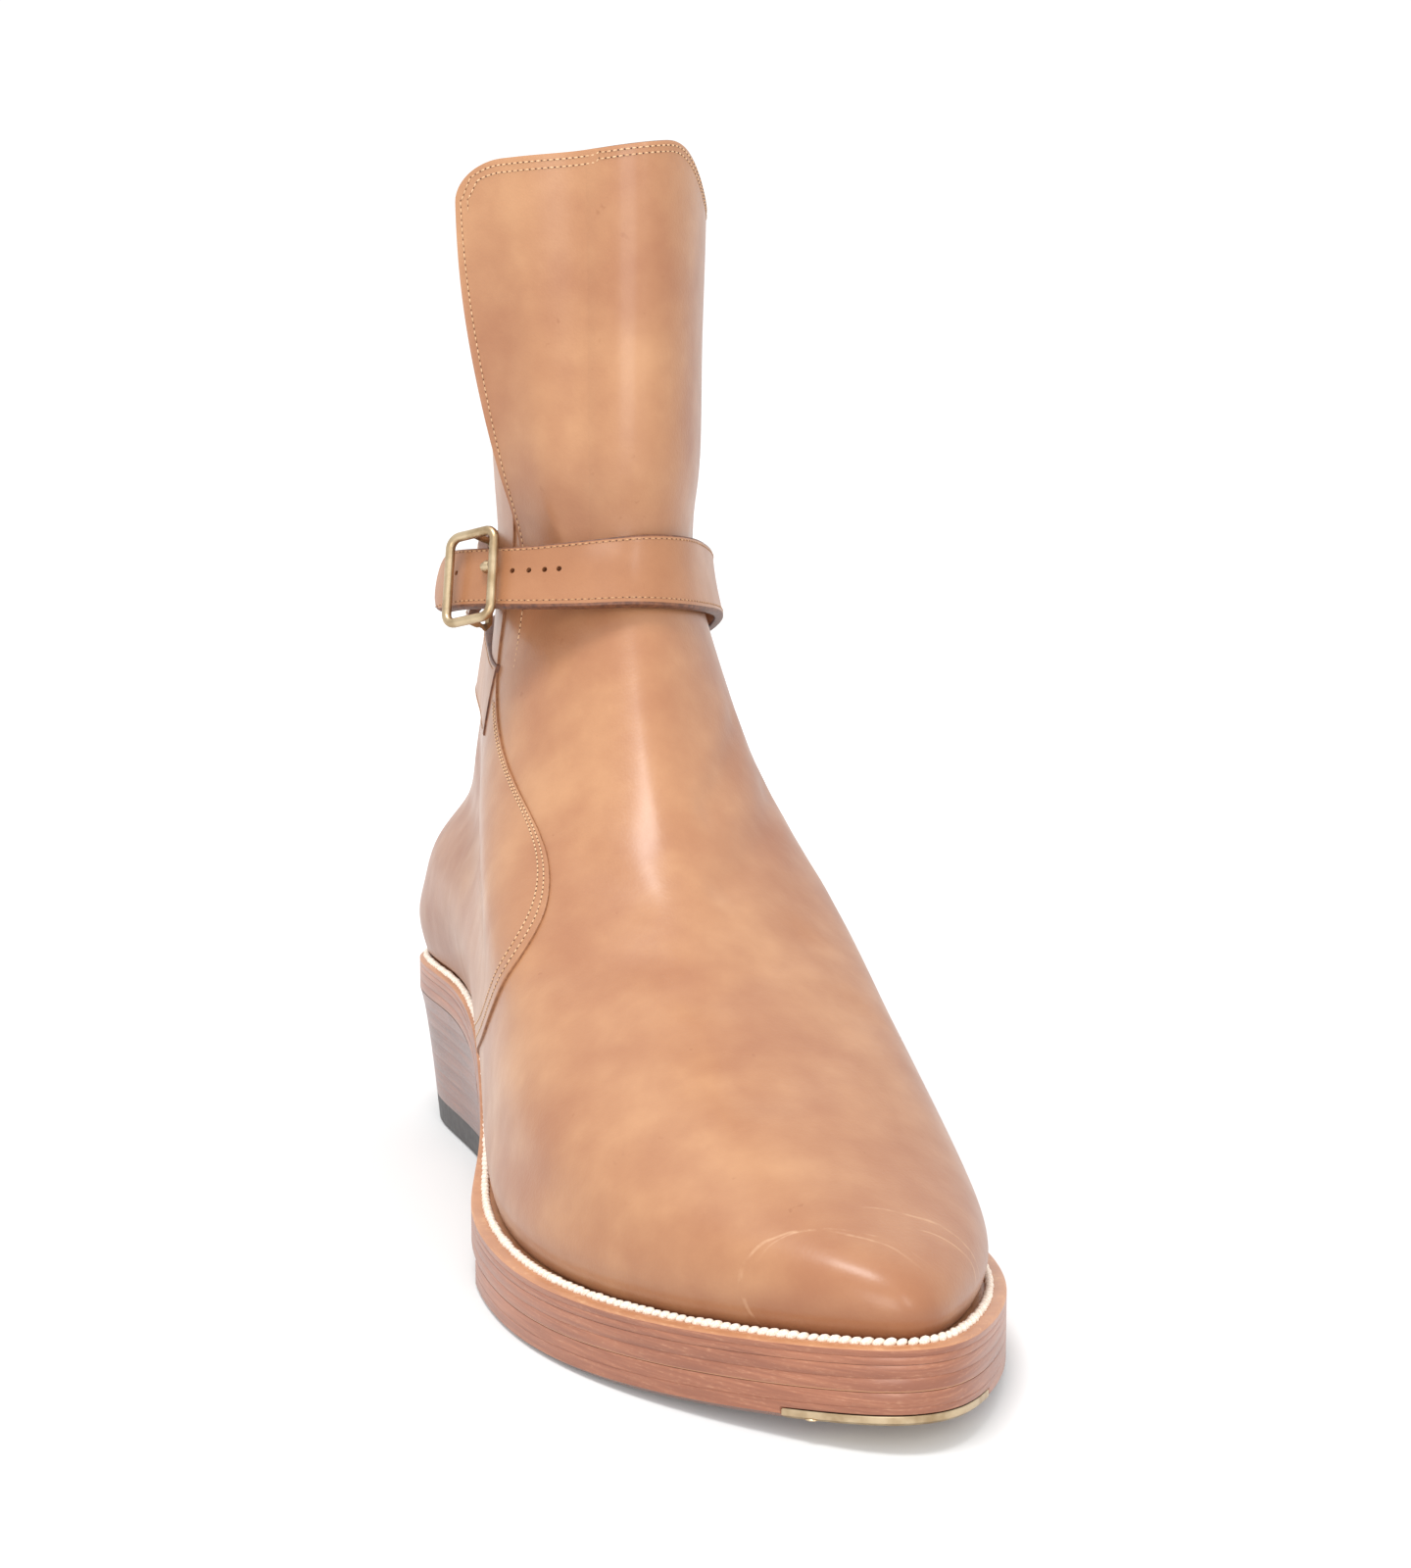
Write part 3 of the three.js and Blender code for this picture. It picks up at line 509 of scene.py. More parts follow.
def shaft_loop(row):
    at, up, lean = row
    height = seat_height + mix(ankle_rise, top_rise, up)
    front = -shin_setback - shin_lean * up
    half = mix(ankle_width, top_width, up) / 2
    widths = half * rounding(stations, 2, 2) / rounding(0.5, 2, 2)
    depth = mix(ankle_depth, top_depth, up)
    return [at, front + depth, height, front, height, 0, *widths, *[lean * top_width] * 4, 2, 2]


def smooth_through(rows):
    """A natural cubic through rows whose first column is the place along it."""
    x, y = np.array(rows)[:, 0], np.array(rows)[:, 1:]
    h = np.diff(x)
    system, right = np.eye(len(x)), np.zeros_like(y)
    for i in range(1, len(x) - 1):
        system[i, i - 1 : i + 2] = h[i - 1], 2 * (h[i - 1] + h[i]), h[i]
        right[i] = 6 * ((y[i + 1] - y[i]) / h[i] - (y[i] - y[i - 1]) / h[i - 1])
    bend = np.linalg.solve(system, right)

    def at(v):
        i = np.clip(np.searchsorted(x, v, side="right") - 1, 0, len(x) - 2)
        a = ((x[i + 1] - v) / h[i])[..., None]
        b = 1 - a
        curve = ((a**3 - a) * bend[i] + (b**3 - b) * bend[i + 1]) * (h[i] ** 2 / 6)[..., None]
        return a * y[i] + b * y[i + 1] + curve

    return at


loop_at = smooth_through([foot_loop(r) for r in foot_rows] + [shaft_loop(r) for r in shaft_rows])


def through_stations(values, s):
    """The one cubic through the four stations, at s along a loop."""
    total = 0
    for i, at in enumerate(stations):
        others = np.delete(stations, i)
        weight = np.prod([(s - o) / (at - o) for o in others], axis=0)
        total = total + values[..., i] * weight
    return total


def surface(turn, place):
    """Points of the outer surface in millimetres, for arrays of turn and place."""
    turn, place = np.broadcast_arrays(np.asarray(turn, float), np.asarray(place, float))
    loop = loop_at(place)
    back_y, back_z, front_y, front_z, follow = np.moveaxis(loop[..., :5], -1, 0)
    blunt_back, blunt_front = loop[..., 13], loop[..., 14]
    s = (1 - np.cos(turn)) / 2
    side = np.where(np.sin(turn) >= 0, -1, 1)
    full = loop[..., 5:9] / rounding(stations, blunt_back[..., None], blunt_front[..., None])
    x = through_stations(full, s) * rounding(s, blunt_back, blunt_front)
    y = mix(back_y, front_y, s)
    chord = mix(feather_height(-back_y / foot_length), feather_height(-front_y / foot_length), s)
    z = mix(back_z, front_z, s) + follow * (feather_height(-y / foot_length) - chord)
    return np.stack([through_stations(loop[..., 9:13], s) + side * x, y, z], -1)


def unit(v):
    """The same direction, one long."""
    return v / np.linalg.norm(v, axis=-1, keepdims=True)


pi = math.pi
step = 1e-3


def directions(turn, place):
    """Along the turn, up the place, and outward."""
    along = (surface(turn + step, place) - surface(turn - step, place)) / (2 * step)
    up = (surface(turn, place + step) - surface(turn, place - step)) / (2 * step)
    return along, up, unit(np.cross(along, up))


def raised(turn, place, height):
    turn, place, height = np.broadcast_arrays(*(np.asarray(a, float) for a in (turn, place, height)))
    return surface(turn, place) + directions(turn, place)[2] * height[..., None]


def edge_point(turn, grow):
    """The edge at the welt, grown outward in plan: x, y and its share of the foot's length."""
    p = surface(turn, 0.0)
    along = directions(turn, 0.0)[0]
    out = unit(np.stack([along[..., 1], -along[..., 0]], -1))
    xy = p[..., :2] + out * np.asarray(grow)[..., None]
    return xy, -xy[..., 1] / foot_length


def ledge(turn):
    """How far the sole stands out past the upper: narrow at heel and waist, wide in front."""
    share = -surface(turn, 0.0)[..., 1] / foot_length
    return mix(mix(heel_grow, waist_grow, eased(0.15, 0.35, share)), fore_grow, eased(0.42, 0.62, share))


def sole_outline(turn, extra=0.0):
    return edge_point(turn, ledge(turn) + extra)


# The last is drawn round its own origin, so the box of the welt's node says where the boot stands
welt_low, welt_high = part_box("welt")
plan = sole_outline(np.linspace(0, 2 * pi, 80, endpoint=False))[0]
shift = np.array([welt_low.x * 1000 - plan[:, 0].min(), welt_low.y * 1000 - plan[:, 1].min(), 0])
print("last to boot:", shift.round(3), "welt length", round((welt_high - welt_low).y * 1000, 1), "mm")

# %% [markdown]
# ## Turning points into pieces
# Most pieces here are sheets of leather: an outer grid of points, an inner one a thickness below, and a
# cut edge all round. A small bevel softens the cut, as a maker's edge tool does.


# %% Mesh helpers
def new_object(name, points, faces, looks, look_of_face=None, attributes=None):
    mesh = bpy.data.meshes.new(name)
    points = (np.asarray(points, float).reshape(-1, 3) + shift) / 1000
    mesh.from_pydata(points.tolist(), [], [list(f) for f in faces])
    for look in looks:
        mesh.materials.append(look)
    if look_of_face is not None:
        mesh.polygons.foreach_set("material_index", np.asarray(look_of_face, np.int32))
    for title, values in (attributes or {}).items():
        data = mesh.attributes.new(title, "FLOAT", "POINT").data
        data.foreach_set("value", np.asarray(values, np.float32).ravel())
    work = bmesh.new()
    work.from_mesh(mesh)
    bmesh.ops.recalc_face_normals(work, faces=work.faces)
    work.to_mesh(mesh)
    work.free()
    obj = bpy.data.objects.new(name, mesh)
    bpy.context.scene.collection.objects.link(obj)
    return obj


def finished(obj, bevel=0.0, sharp=35):
    """Bevels the cut edges, applies what is on the object and shades it smooth but for its sharp edges."""
    if bevel:
        soften = obj.modifiers.new("soften", "BEVEL")
        soften.width = bevel / 1000
        soften.segments = 2
        soften.limit_method = "ANGLE"
        soften.angle_limit = math.radians(60)
    graph = bpy.context.evaluated_depsgraph_get()
    mesh = bpy.data.meshes.new_from_object(obj.evaluated_get(graph))
    obj.modifiers.clear()
    obj.data = mesh
    mesh.shade_smooth()
    mesh.set_sharp_from_angle(angle=math.radians(sharp))
    return obj


def grid_faces(rows, columns, start=0, around=False):
    """Quads of a grid whose points are numbered row by row."""
    r, c = np.meshgrid(np.arange(rows - 1), np.arange(columns if around else columns - 1), indexing="ij")
    low, high = start + r * columns, start + (r + 1) * columns
    after = (c + 1) % columns
    return np.stack([low + c, low + after, high + after, high + c], -1).reshape(-1, 4).tolist()


def rim_faces(first, second, around=False):
    """Quads between two rows of point numbers."""
    pairs = list(zip(first, second))
    following = pairs[1:] + pairs[:1] if around else pairs[1:]
    return [[a, b, d, c] for (a, b), (c, d) in zip(pairs, following)]


def sheet(name, outer, inner, looks, around=False, painted_shade=None):
    """A sheet between two grids. looks: outer face, cut edge, inner face."""
    rows, columns = outer.shape[:2]
    deep = inner.shape[0]
    start = rows * columns
    faces = grid_faces(rows, columns, 0, around)
    kinds = [0] * len(faces)
    back = grid_faces(deep, columns, start, around)
    faces += back
    kinds += [2] * len(back)
    top = (start - columns + np.arange(columns), start + (deep - 1) * columns + np.arange(columns))
    bottom = (np.arange(columns), start + np.arange(columns))
    edges = rim_faces(*top, around) + rim_faces(*bottom, around)
    if not around:
        for column in (0, columns - 1):
            outer_side = np.arange(rows) * columns + column
            edges += rim_faces(outer_side, start + outer_side)
    faces += edges
    kinds += [1] * len(edges)
    points = np.concatenate([outer.reshape(-1, 3), inner.reshape(-1, 3)])
    # Painted shade for the outer points, which the leather's finish reads
    painted_shades = np.zeros(len(points))
    if painted_shade is not None:
        painted_shades[:start] = painted_shade.ravel()
    return new_object(name, points, faces, looks, kinds, {"painted_shade": painted_shades})


def dress(obj, slot, *nodes):
    """Rides on the boot's one body and stands for its construction nodes. slot: not used."""
    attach(obj, "root")
    if nodes:
        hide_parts(*nodes)
    print(obj.name, len(obj.data.polygons), "faces")
    return obj


# %% [markdown]
# ## Upper
# The shell is one closed wall of leather and lining. Under the flap its top line dips, on the inner side
# it falls away behind the shin. Folds come from a short list of lines on the surface: each
# presses the leather in along its line and lifts it a little beside.

# %% Top lines
height_per_place = float((surface(pi, 1.0)[2] - surface(pi, 1 - step)[2]) / step)
print("one unit of place at the top line:", round(height_per_place, 1), "mm")


def panel_top(turn):
    round_turn = np.asarray(turn, float) % (2 * pi)
    inner = eased(1.07 * pi, 1.4 * pi, round_turn) * (1 - eased(1.6 * pi, 1.95 * pi, round_turn))
    return 1 - ((top_slope / 2) * (1 + np.sin(turn)) + inner_dip * inner) / height_per_place


def quarter_top(turn):
    dip = quarter_dip * eased(0.15 * pi, 0.58 * pi, turn) * (1 - eased(0.7 * pi, 0.84 * pi, turn))
    return panel_top(turn) - dip / height_per_place


# %% [markdown]
# ## Folds and painted shade
# Worn leather folds over the instep and wrinkles at the heel's sides. Folds could be sculpted, but a line
# on the surface with a width and a depth is easy to move, and the flap and the quarter, which lie on the
# shell, bend with it. The painted shade is a number for each point that the leather's finish reads, to
# darken the colour where the boot lies in shade.

# %% Folds and painted shade
# Each fold: its two ends as turn in half turns and place, then width and depth in millimetres
folds = [
    ((1.12, 0.47), (1.3, 0.5), 3.0, 0.5),
    ((1.1, 0.43), (1.34, 0.455), 3.5, 0.55),
    ((0.8, 0.44), (0.9, 0.425), 4.0, 0.3),
    ((0.97, 0.37), (1.2, 0.39), 4.5, 0.35),
    ((0.72, 0.36), (0.86, 0.385), 5.0, 0.3),
    ((1.0, 0.3), (1.22, 0.325), 6.0, 0.3),
    ((1.42, 0.36), (1.52, 0.42), 5.0, 0.5),
    ((1.5, 0.33), (1.62, 0.39), 5.0, 0.45),
    ((0.3, 0.4), (0.46, 0.35), 4.5, 0.4),
    ((1.3, 0.62), (1.38, 0.6), 3.0, 0.25),
]


def fold_relief(turn, place):
    points = surface(turn, place)
    total = np.zeros(points.shape[:-1])
    for (t0, p0), (t1, p1), width, depth in folds:
        line = surface(np.linspace(t0, t1, 9) * pi, np.linspace(p0, p1, 9))
        nearest = np.full(total.shape, 1e9)
        for a, b in zip(line, line[1:]):
            span = b - a
            along = np.clip((points - a) @ span / (span @ span), 0, 1)
            nearest = np.minimum(nearest, np.linalg.norm(points - a - along[..., None] * span, axis=-1))
        lifted = 0.45 * np.exp(-(((nearest - 1.7 * width) / width) ** 2))
        total += depth * (lifted - np.exp(-((nearest / width) ** 2)))
    return total


def painted_shade_of(points, turn):
    """Painted shade: browner just above the welt, on the inner flank of the vamp and toward the heel."""
    share = -points[..., 1] / foot_length
    above = points[..., 2] - feather_height(share)
    low = np.exp(-np.maximum(0, above) / 11)
    inner_flank = eased(1.05 * pi, 1.35 * pi, turn)
    heel = (1 - eased(0.1, 0.5, share)) * (1 - eased(60, 140, above))
    return np.clip(0.5 * low + 0.5 * inner_flank + 0.42 * heel, 0, 0.8)


# %% [markdown]
# ## Shell
# The wall could be a Solidify modifier on one surface. Two grids are used instead, so that the foot of the
# wall sits flat on the welt and the cut along the top line has a finish of its own.

# %% Shell
def shell_grids(rows, columns, inner_rows):
    turn = np.linspace(0, 2 * pi, columns, endpoint=False)[None, :]
    rise = np.linspace(0, 1, rows)[:, None]
    place = quarter_top(turn) * rise
    outer = raised(turn, place, fold_relief(turn, place))
    outer[0, :, 2] = surface(turn[0], 0.0)[:, 2] + gap
    deep = quarter_top(turn) * np.linspace(0, 1, inner_rows)[:, None]
    inner = raised(turn, deep, -wall)
    inner[0, :, 2] = outer[0, :, 2]
    return outer, inner, painted_shade_of(outer, turn)


# The third grid is the painted shade of the shell's points
outer, inner, painted_shade = shell_grids(rows=150, columns=300, inner_rows=60)
upper = sheet("upper_shell", outer, inner, [upper_leather, cut_edge, lining], True, painted_shade)
finished(upper, 0.5)
dress(upper, "upper_leather", "upper")

# %% [markdown]
# ## Front flap
# Over the ankle the front panel isn't sewn down on the little-toe side. It stands off as a flap with a
# rounded corner, flares toward the top and shows its cut edge. It is one sheet whose lift above the shell
# grows toward its free edge and fades to nothing where it runs into the shaft.

# %% Flap
flap_thickness, flap_flare, flap_corner, flap_foot = 2.2, 13.5, 9, 0.465
flap_edge_foot, flap_edge_top, flap_merge = 0.62 * pi, 0.645 * pi, 0.87 * pi
panel_raise, flap_sunk, flap_skived = 1.1, 0.12, 0.8


def flap_place(across, up):
    """Turn and place of the flap's own coordinates."""
    edge = mix(flap_edge_foot, flap_edge_top, up)
    turn = mix(edge, flap_merge, across)
    width = np.linalg.norm(surface(edge, 1.0) - surface(flap_merge, 1.0), axis=-1)
    from_edge = np.clip(across * width / flap_corner, 0, 1)
    cut = flap_corner * (1 - np.sqrt(1 - (1 - from_edge) ** 2))
    return turn, mix(flap_foot, panel_top(turn) - cut / height_per_place, up)


def flap_height(across, up):
    """How far the flap's face stands off the shell, and how far it has merged with it."""
    flare = flap_flare * eased(0.2, 1, up) * (1 - across) ** 2
    merged = np.maximum(eased(0.35, 0.97, across), 1 - eased(0.12, 0.42, up))
    return mix(panel_raise + flare + flap_thickness, -flap_sunk, merged), merged


across, up = np.meshgrid(np.linspace(0, 1, 70) ** 1.25, np.linspace(0, 1, 90))
turn, place = flap_place(across, up)
height, merged = flap_height(across, up)
relief = fold_relief(turn, place)
outer = raised(turn, place, height + relief)
inner = raised(turn, place, height + relief - mix(flap_thickness, flap_skived, merged))
# The flap takes the same painted shade as the shell
flap = sheet("front_flap", outer, inner, [upper_leather, tan_edge, lining], False, painted_shade_of(outer, turn))
finished(flap, 0.45)
dress(flap, "upper_leather")

# %% [markdown]
# ## Quarter
# Behind the flap the quarter lies over the vamp: a second thickness of leather whose front edge runs in a
# curve from under the strap down to the welt, sewn with two rows. Only its raised layer is made here.

# %% Quarter panel
# Points of the quarter's front edge: place and turn in half turns
quarter_edge_rows = [
    (0.0, 0.42),
    (0.11, 0.465),
    (0.21, 0.535),
    (0.32, 0.645),
    (0.38, 0.715),
    (0.42, 0.742),
    (0.45, 0.715),
    (0.475, 0.64),
    (0.51, 0.57),
    (0.6, 0.55),
    (1.0, 0.6),
]
quarter_edge_at = smooth_through(quarter_edge_rows)
quarter_thickness = 0.6
# Painted shade: the quarter is a little browner than the shell
quarter_painted_shade = 0.08


def quarter_edge(place):
    return quarter_edge_at(np.asarray(place, float))[..., 0] * pi


# The panel starts a little above the welt and ends under the back strip. Its points lie closer together
# where its edge turns back under the strap.
panel_foot, under_strip, quarter_sunk = 0.012, 0.03, 0.3
bend_low, bend_high = 0.36, 0.52
rise = np.concatenate([
    np.linspace(panel_foot, bend_low, 40, endpoint=False),
    np.linspace(bend_low, bend_high, 90, endpoint=False),
    np.linspace(bend_high, 1, 50),
])[:, None]
spread = np.concatenate([[0, 0.004, 0.01], np.linspace(0.02, 0.98, 70), [0.99, 0.996, 1]])[None, :]
turn = mix(under_strip, quarter_edge(rise), spread)
place = quarter_top(turn) * rise
turn = mix(under_strip, quarter_edge(place), spread)
relief = fold_relief(turn, place)
outer = raised(turn, place, quarter_thickness + relief)
inner = raised(turn, place, relief - quarter_sunk)
# The quarter's painted shade
shade = painted_shade_of(outer, turn) + quarter_painted_shade
quarter = sheet("quarter_panel", outer, inner, [upper_leather, tan_edge, tan_edge], False, shade)
finished(quarter, 0.25)
dress(quarter, "upper_leather")

# %% [markdown]
# ## Welt and sole
# The welt, midsole and half sole share the sole's outline. Each is lofted from a profile: pairs of how
# far the edge stands out and how far it lies below the welt's upper edge. Small steps in the profile are the
# grooves that an edge iron leaves between the layers.

# %% Sole layers
midsole_top = welt_thickness + gap
midsole_bottom = midsole_top + midsole_thickness
half_sole_top = midsole_bottom + gap
half_sole_bottom = half_sole_top + half_sole_thickness
sole_turns = np.linspace(0, 2 * pi, 360, endpoint=False)


def sole_layer(name, profile, looks, look_of_band):
    """A closed slab with the sole's outline. Bands of the profile take their own finish."""
    loops = []
    for extra, below in profile:
        xy, share = sole_outline(sole_turns, extra)
        loops.append(np.column_stack([xy, feather_height(share) - below]))
    count = len(sole_turns)
    faces = grid_faces(len(loops), count, 0, True)
    kinds = np.repeat(look_of_band, count).tolist()
    half = count // 2
    for start, kind in ((0, look_of_band[0]), ((len(loops) - 1) * count, look_of_band[-1])):
        cap = [[0, 1, count - 1]] + [[i, i + 1, count - i - 1, count - i] for i in range(1, half - 1)]
        cap.append([half - 1, half, half + 1])
        faces += [[start + i for i in f] for f in cap]
        kinds += [kind] * len(cap)
    return new_object(name, np.concatenate(loops), faces, looks, kinds)


def groove(below, depth=0.12, half=0.16):
    """A fine line in the edge, as three points of a profile."""
    return [(0, below - half), (-depth, below), (0, below + half)]


def edge_then_face(profile):
    """The first finish for every band of a profile but the last, which takes the second."""
    return [0] * (len(profile) - 2) + [1]


welt_profile = [(-3.5, 0.0), (-0.6, 0.05), (0, 0.5), *groove(1.7), (0, 3.0), (-0.12, 3.2)]
welt = sole_layer("welt", welt_profile, [welt_leather, sole_edge], [0, 0] + [1] * (len(welt_profile) - 3))
finished(welt, sharp=50)
dress(welt, "edge_leather", "welt")

midsole_profile = [
    (-0.12, midsole_top - 0.25),
    (0, midsole_top),
    *groove(midsole_top + 2.2),
    (0, midsole_bottom),
    (-0.12, midsole_bottom + 0.2),
]
midsole = sole_layer("midsole", midsole_profile, [sole_edge, waist_leather], edge_then_face(midsole_profile))
finished(midsole, sharp=50)
dress(midsole, "sole_leather", "midsole")

# %% [markdown]
# ## Half sole and toe plate
# The half sole is glued under the front of the sole. Its rear edge has the shape of a brace, and a brass
# plate is let into its toe. Both start as whole soles, and a Boolean with a straight block then cuts each
# to its plan, which keeps their outer edges on the sole's outline.

# %% Half sole and toe plate
knife_low, knife_high = -40, 160
far_side, far_front, far_back = 90, -400, 90


def carve(obj, cutter, operation="DIFFERENCE"):
    """Cuts one closed piece by another once the piece is finished."""
    knife = obj.modifiers.new("carve", "BOOLEAN")
    knife.operation = operation
    knife.object = cutter
    knife.solver = "EXACT"
    return obj


def prism(name, outline, low, high):
    """A straight block over a plan outline in millimetres."""
    count = len(outline)
    points = [(x, y, z) for z in (low, high) for x, y in outline]
    faces = grid_faces(2, count, 0, True) + [list(range(count))[::-1], list(range(count, 2 * count))]
    return new_object(name, points, faces, [])


def toe_knife(name, rear):
    """A block over everything in front of a straight line across the boot."""
    corners = [(-far_side, far_front), (far_side, far_front), (far_side, rear), (-far_side, rear)]
    return prism(name, corners, knife_low, knife_high)


def bezier(a, b, c, d, count):
    """A curve from a to d that leaves toward b and arrives from c."""
    t = np.linspace(0, 1, count, endpoint=False)[:, None]
    a, b, c, d = (np.array(p, float) for p in (a, b, c, d))
    return (1 - t) ** 3 * a + 3 * (1 - t) ** 2 * t * b + 3 * (1 - t) * t**2 * c + t**3 * d


brace_at = -0.575 * foot_length
brace_shoulder, brace_reach = brace_at - 12, brace_at + 18
side, flank, neck = ball_width / 2, ball_width / 4, ball_width / 12
brace_line = np.concatenate([
    bezier((-side, brace_shoulder), (-flank, brace_shoulder), (-neck, brace_at), (0, brace_reach), 24),
    bezier((0, brace_reach), (neck, brace_at), (flank, brace_shoulder), (side, brace_shoulder), 24),
    [(side, brace_shoulder)],
])
behind_brace = [
    (-ball_width, brace_shoulder),
    *brace_line,
    (ball_width, brace_shoulder),
    (ball_width, far_back),
    (-ball_width, far_back),
]
brace = prism("brace", behind_brace, knife_low, knife_high)
toe_plate_length, toe_plate_thickness = 15, 1.8
toe_plate_rear = -foot_length - fore_grow + toe_plate_length
toe_block = toe_knife("toe_block", toe_plate_rear)

tread_top = half_sole_bottom - toe_plate_thickness
half_profile = [
    (-0.12, half_sole_top),
    (0, half_sole_top + 0.2),
    *groove(half_sole_top + 2.9),
    (0, half_sole_bottom - 0.8),
    (-0.9, half_sole_bottom),
]
half_sole_looks = [sole_edge, half_sole_leather]
half_sole = sole_layer("half_sole", half_profile, half_sole_looks, edge_then_face(half_profile))
carve(half_sole, brace)
tread_block = sole_layer("tread_block", [(0.5, tread_top - gap), (0.5, half_sole_bottom + 1)], [], [0])
carve(tread_block, toe_block, "INTERSECT")
finished(tread_block)
carve(half_sole, tread_block)
finished(half_sole, 0.5)
dress(half_sole, "half_sole_leather", "half_sole")

plate_profile = [
    (-0.1, tread_top),
    (0.05, tread_top + 0.2),
    (0.05, half_sole_bottom - 0.5),
    (-0.5, half_sole_bottom),
]
toe_plate = sole_layer("toe_plate", plate_profile, [brass], [0, 0, 0])
toe_front = toe_knife("toe_front", toe_plate_rear - gap)
carve(toe_plate, toe_front, "INTERSECT")
finished(toe_plate, 0.25)
dress(toe_plate, "brass", "toe_plate")

# %% [markdown]
# ## Heel
# The heel is a stack of leather lifts over a rubber top lift. Its outline is the sole's behind a hollow
# breast, drawn in toward the ground, more at the back than at the sides. The joins between the lifts are
# fine grooves in one lofted block.

# %% Heel stack
heel_length, heel_back_taper, heel_side_taper, heel_curve, breast_hollow = 84, 9, 3.5, 0.7, 4


def heel_turn():
    """Where the heel ends on the sole's outline."""
    turn = np.linspace(0.05, pi / 2, 2000)
    return turn[np.argmin(np.abs(sole_outline(turn)[0][:, 1] + heel_length))]


def heel_loop(height, extra=0.0, count=110, breast=24):
    """The heel's outline at a height: round the back, then along the hollow breast."""
    end = heel_turn()
    rim = sole_outline(np.linspace(-end, end, count), extra)[0]
    t = np.linspace(0, 1, breast + 1)[1:-1, None]
    front = mix(rim[-1], rim[0], t) + [[0, 1]] * (4 * t * (1 - t) * (breast_hollow + extra))
    xy = np.concatenate([rim, front])
    drawn = max(0, 1 - height / heel_height) ** heel_curve
    xy[:, 1] -= heel_back_taper * drawn * (1 + xy[:, 1] / heel_length)
    xy[:, 0] *= 1 - 2 * heel_side_taper * drawn / heel_width
    under = feather_height(-xy[:, 1] / foot_length) - midsole_bottom - gap
    return np.column_stack([xy, np.minimum(height, under)])


def stacked(name, levels, looks):
    """A block on the heel's outline. levels: height and how far the edge stands out."""
    loops = [heel_loop(height, extra) for height, extra in levels]
    count = len(loops[0])
    faces = grid_faces(len(loops), count, 0, True)
    faces += [list(range(count)), [(len(loops) - 1) * count + i for i in range(count)]]
    return new_object(name, np.concatenate(loops), faces, looks)


lift_thickness = (heel_height - top_lift_thickness) / lift_count
join_depth, join_half = 0.05, 0.2
levels = []
for i in range(lift_count):
    low = top_lift_thickness + i * lift_thickness
    high = low + lift_thickness
    levels += [(low + 0.02, -join_depth), (low + join_half, 0), (high - join_half, 0), (high, -join_depth)]
heel = stacked("heel_stack", levels, [heel_leather])
finished(heel, sharp=50)
dress(heel, "heel_leather", *[f"heel_lift_{i + 1}" for i in range(lift_count)])

# %% [markdown]
# ## Top lift
# The slice that meets the ground is black rubber with three round recesses, and in each sits a plug with
# two round grooves. The recesses are cut with upright cylinders. A plug is a profile turned on its axis,
# as on a lathe.

# %% Rubber top lift with its recessed plugs
plug_hole_radius, plug_hole_low, plug_hole_high = 5.5, -1, 5.3
plug_beside, plug_ahead, plug_behind = 0.22 * heel_width, -0.7 * heel_length, -0.4 * heel_length
plug_places = [(0, plug_behind), (-plug_beside, plug_ahead), (plug_beside, plug_ahead)]


def plug_knife(x, y, sides=40):
    angles = np.linspace(0, 2 * pi, sides, endpoint=False)
    circle = [x + plug_hole_radius * np.cos(angles), y + plug_hole_radius * np.sin(angles)]
    return prism("plug_knife", np.column_stack(circle), plug_hole_low, plug_hole_high)


top_levels = [(0, -0.7), (0.5, 0), (top_lift_thickness - 0.5, 0), (top_lift_thickness - 0.02, -0.2)]
top_lift = stacked("top_lift", top_levels, [heel_rubber])
knives = [plug_knife(x, y) for x, y in plug_places]
for knife in knives:
    carve(top_lift, knife)
finished(top_lift, sharp=40)
dress(top_lift, "heel_rubber", "top_lift")


def turned(name, profile, x, y, looks, sides=40):
    """A round piece from radius and height pairs, closed on its axis."""
    angles = np.linspace(0, 2 * pi, sides, endpoint=False)
    points = [(x + r * math.cos(a), y + r * math.sin(a), z) for r, z in profile for a in angles]
    faces = grid_faces(len(profile), sides, 0, True)
    faces += [list(range(sides)), [(len(profile) - 1) * sides + i for i in range(sides)]]
    return new_object(name, points, faces, looks)


# Radius and height: a disc, a ring and a rim, with a groove between each two
rings = [(0.8, 1.0), (1.6, 1.0), (1.8, 1.4), (2.2, 1.4), (2.4, 1.0), (3.9, 1.0)]
rings += [(4.1, 1.5), (4.5, 1.5), (4.7, 1.0), (5.2, 1.2), (5.2, 5.0)]
for i, (x, y) in enumerate(plug_places):
    plug = finished(turned(f"top_lift_plug_{i + 1}_rings", rings, x, y, [heel_rubber]), sharp=30)
    dress(plug, "heel_rubber", f"top_lift_plug_{i + 1}")

for block in (brace, toe_block, toe_front, tread_block, *knives):
    bpy.data.objects.remove(block)

# %% [markdown]
# ## Straps
# One long strap starts under the flap, goes round the back, over the instep and through the buckle. A
# short one comes from the buckle's bar round the back and ends under it. Each follows a short list of
# places: turn, rise above or below the ankle's line, and how far it stands off the leather.

# %% Strap paths
strap_width, strap_thickness, strip_thickness, overlay_gap = 18, 2.4, 1.4, 0.5
strap_height = seat_height + ankle_rise + 1
lying = 2 * gap / strap_thickness
over_strip = (overlay_gap + strip_thickness + 2 * gap) / strap_thickness
over_strap = over_strip + 1 + 3 * gap / strap_thickness
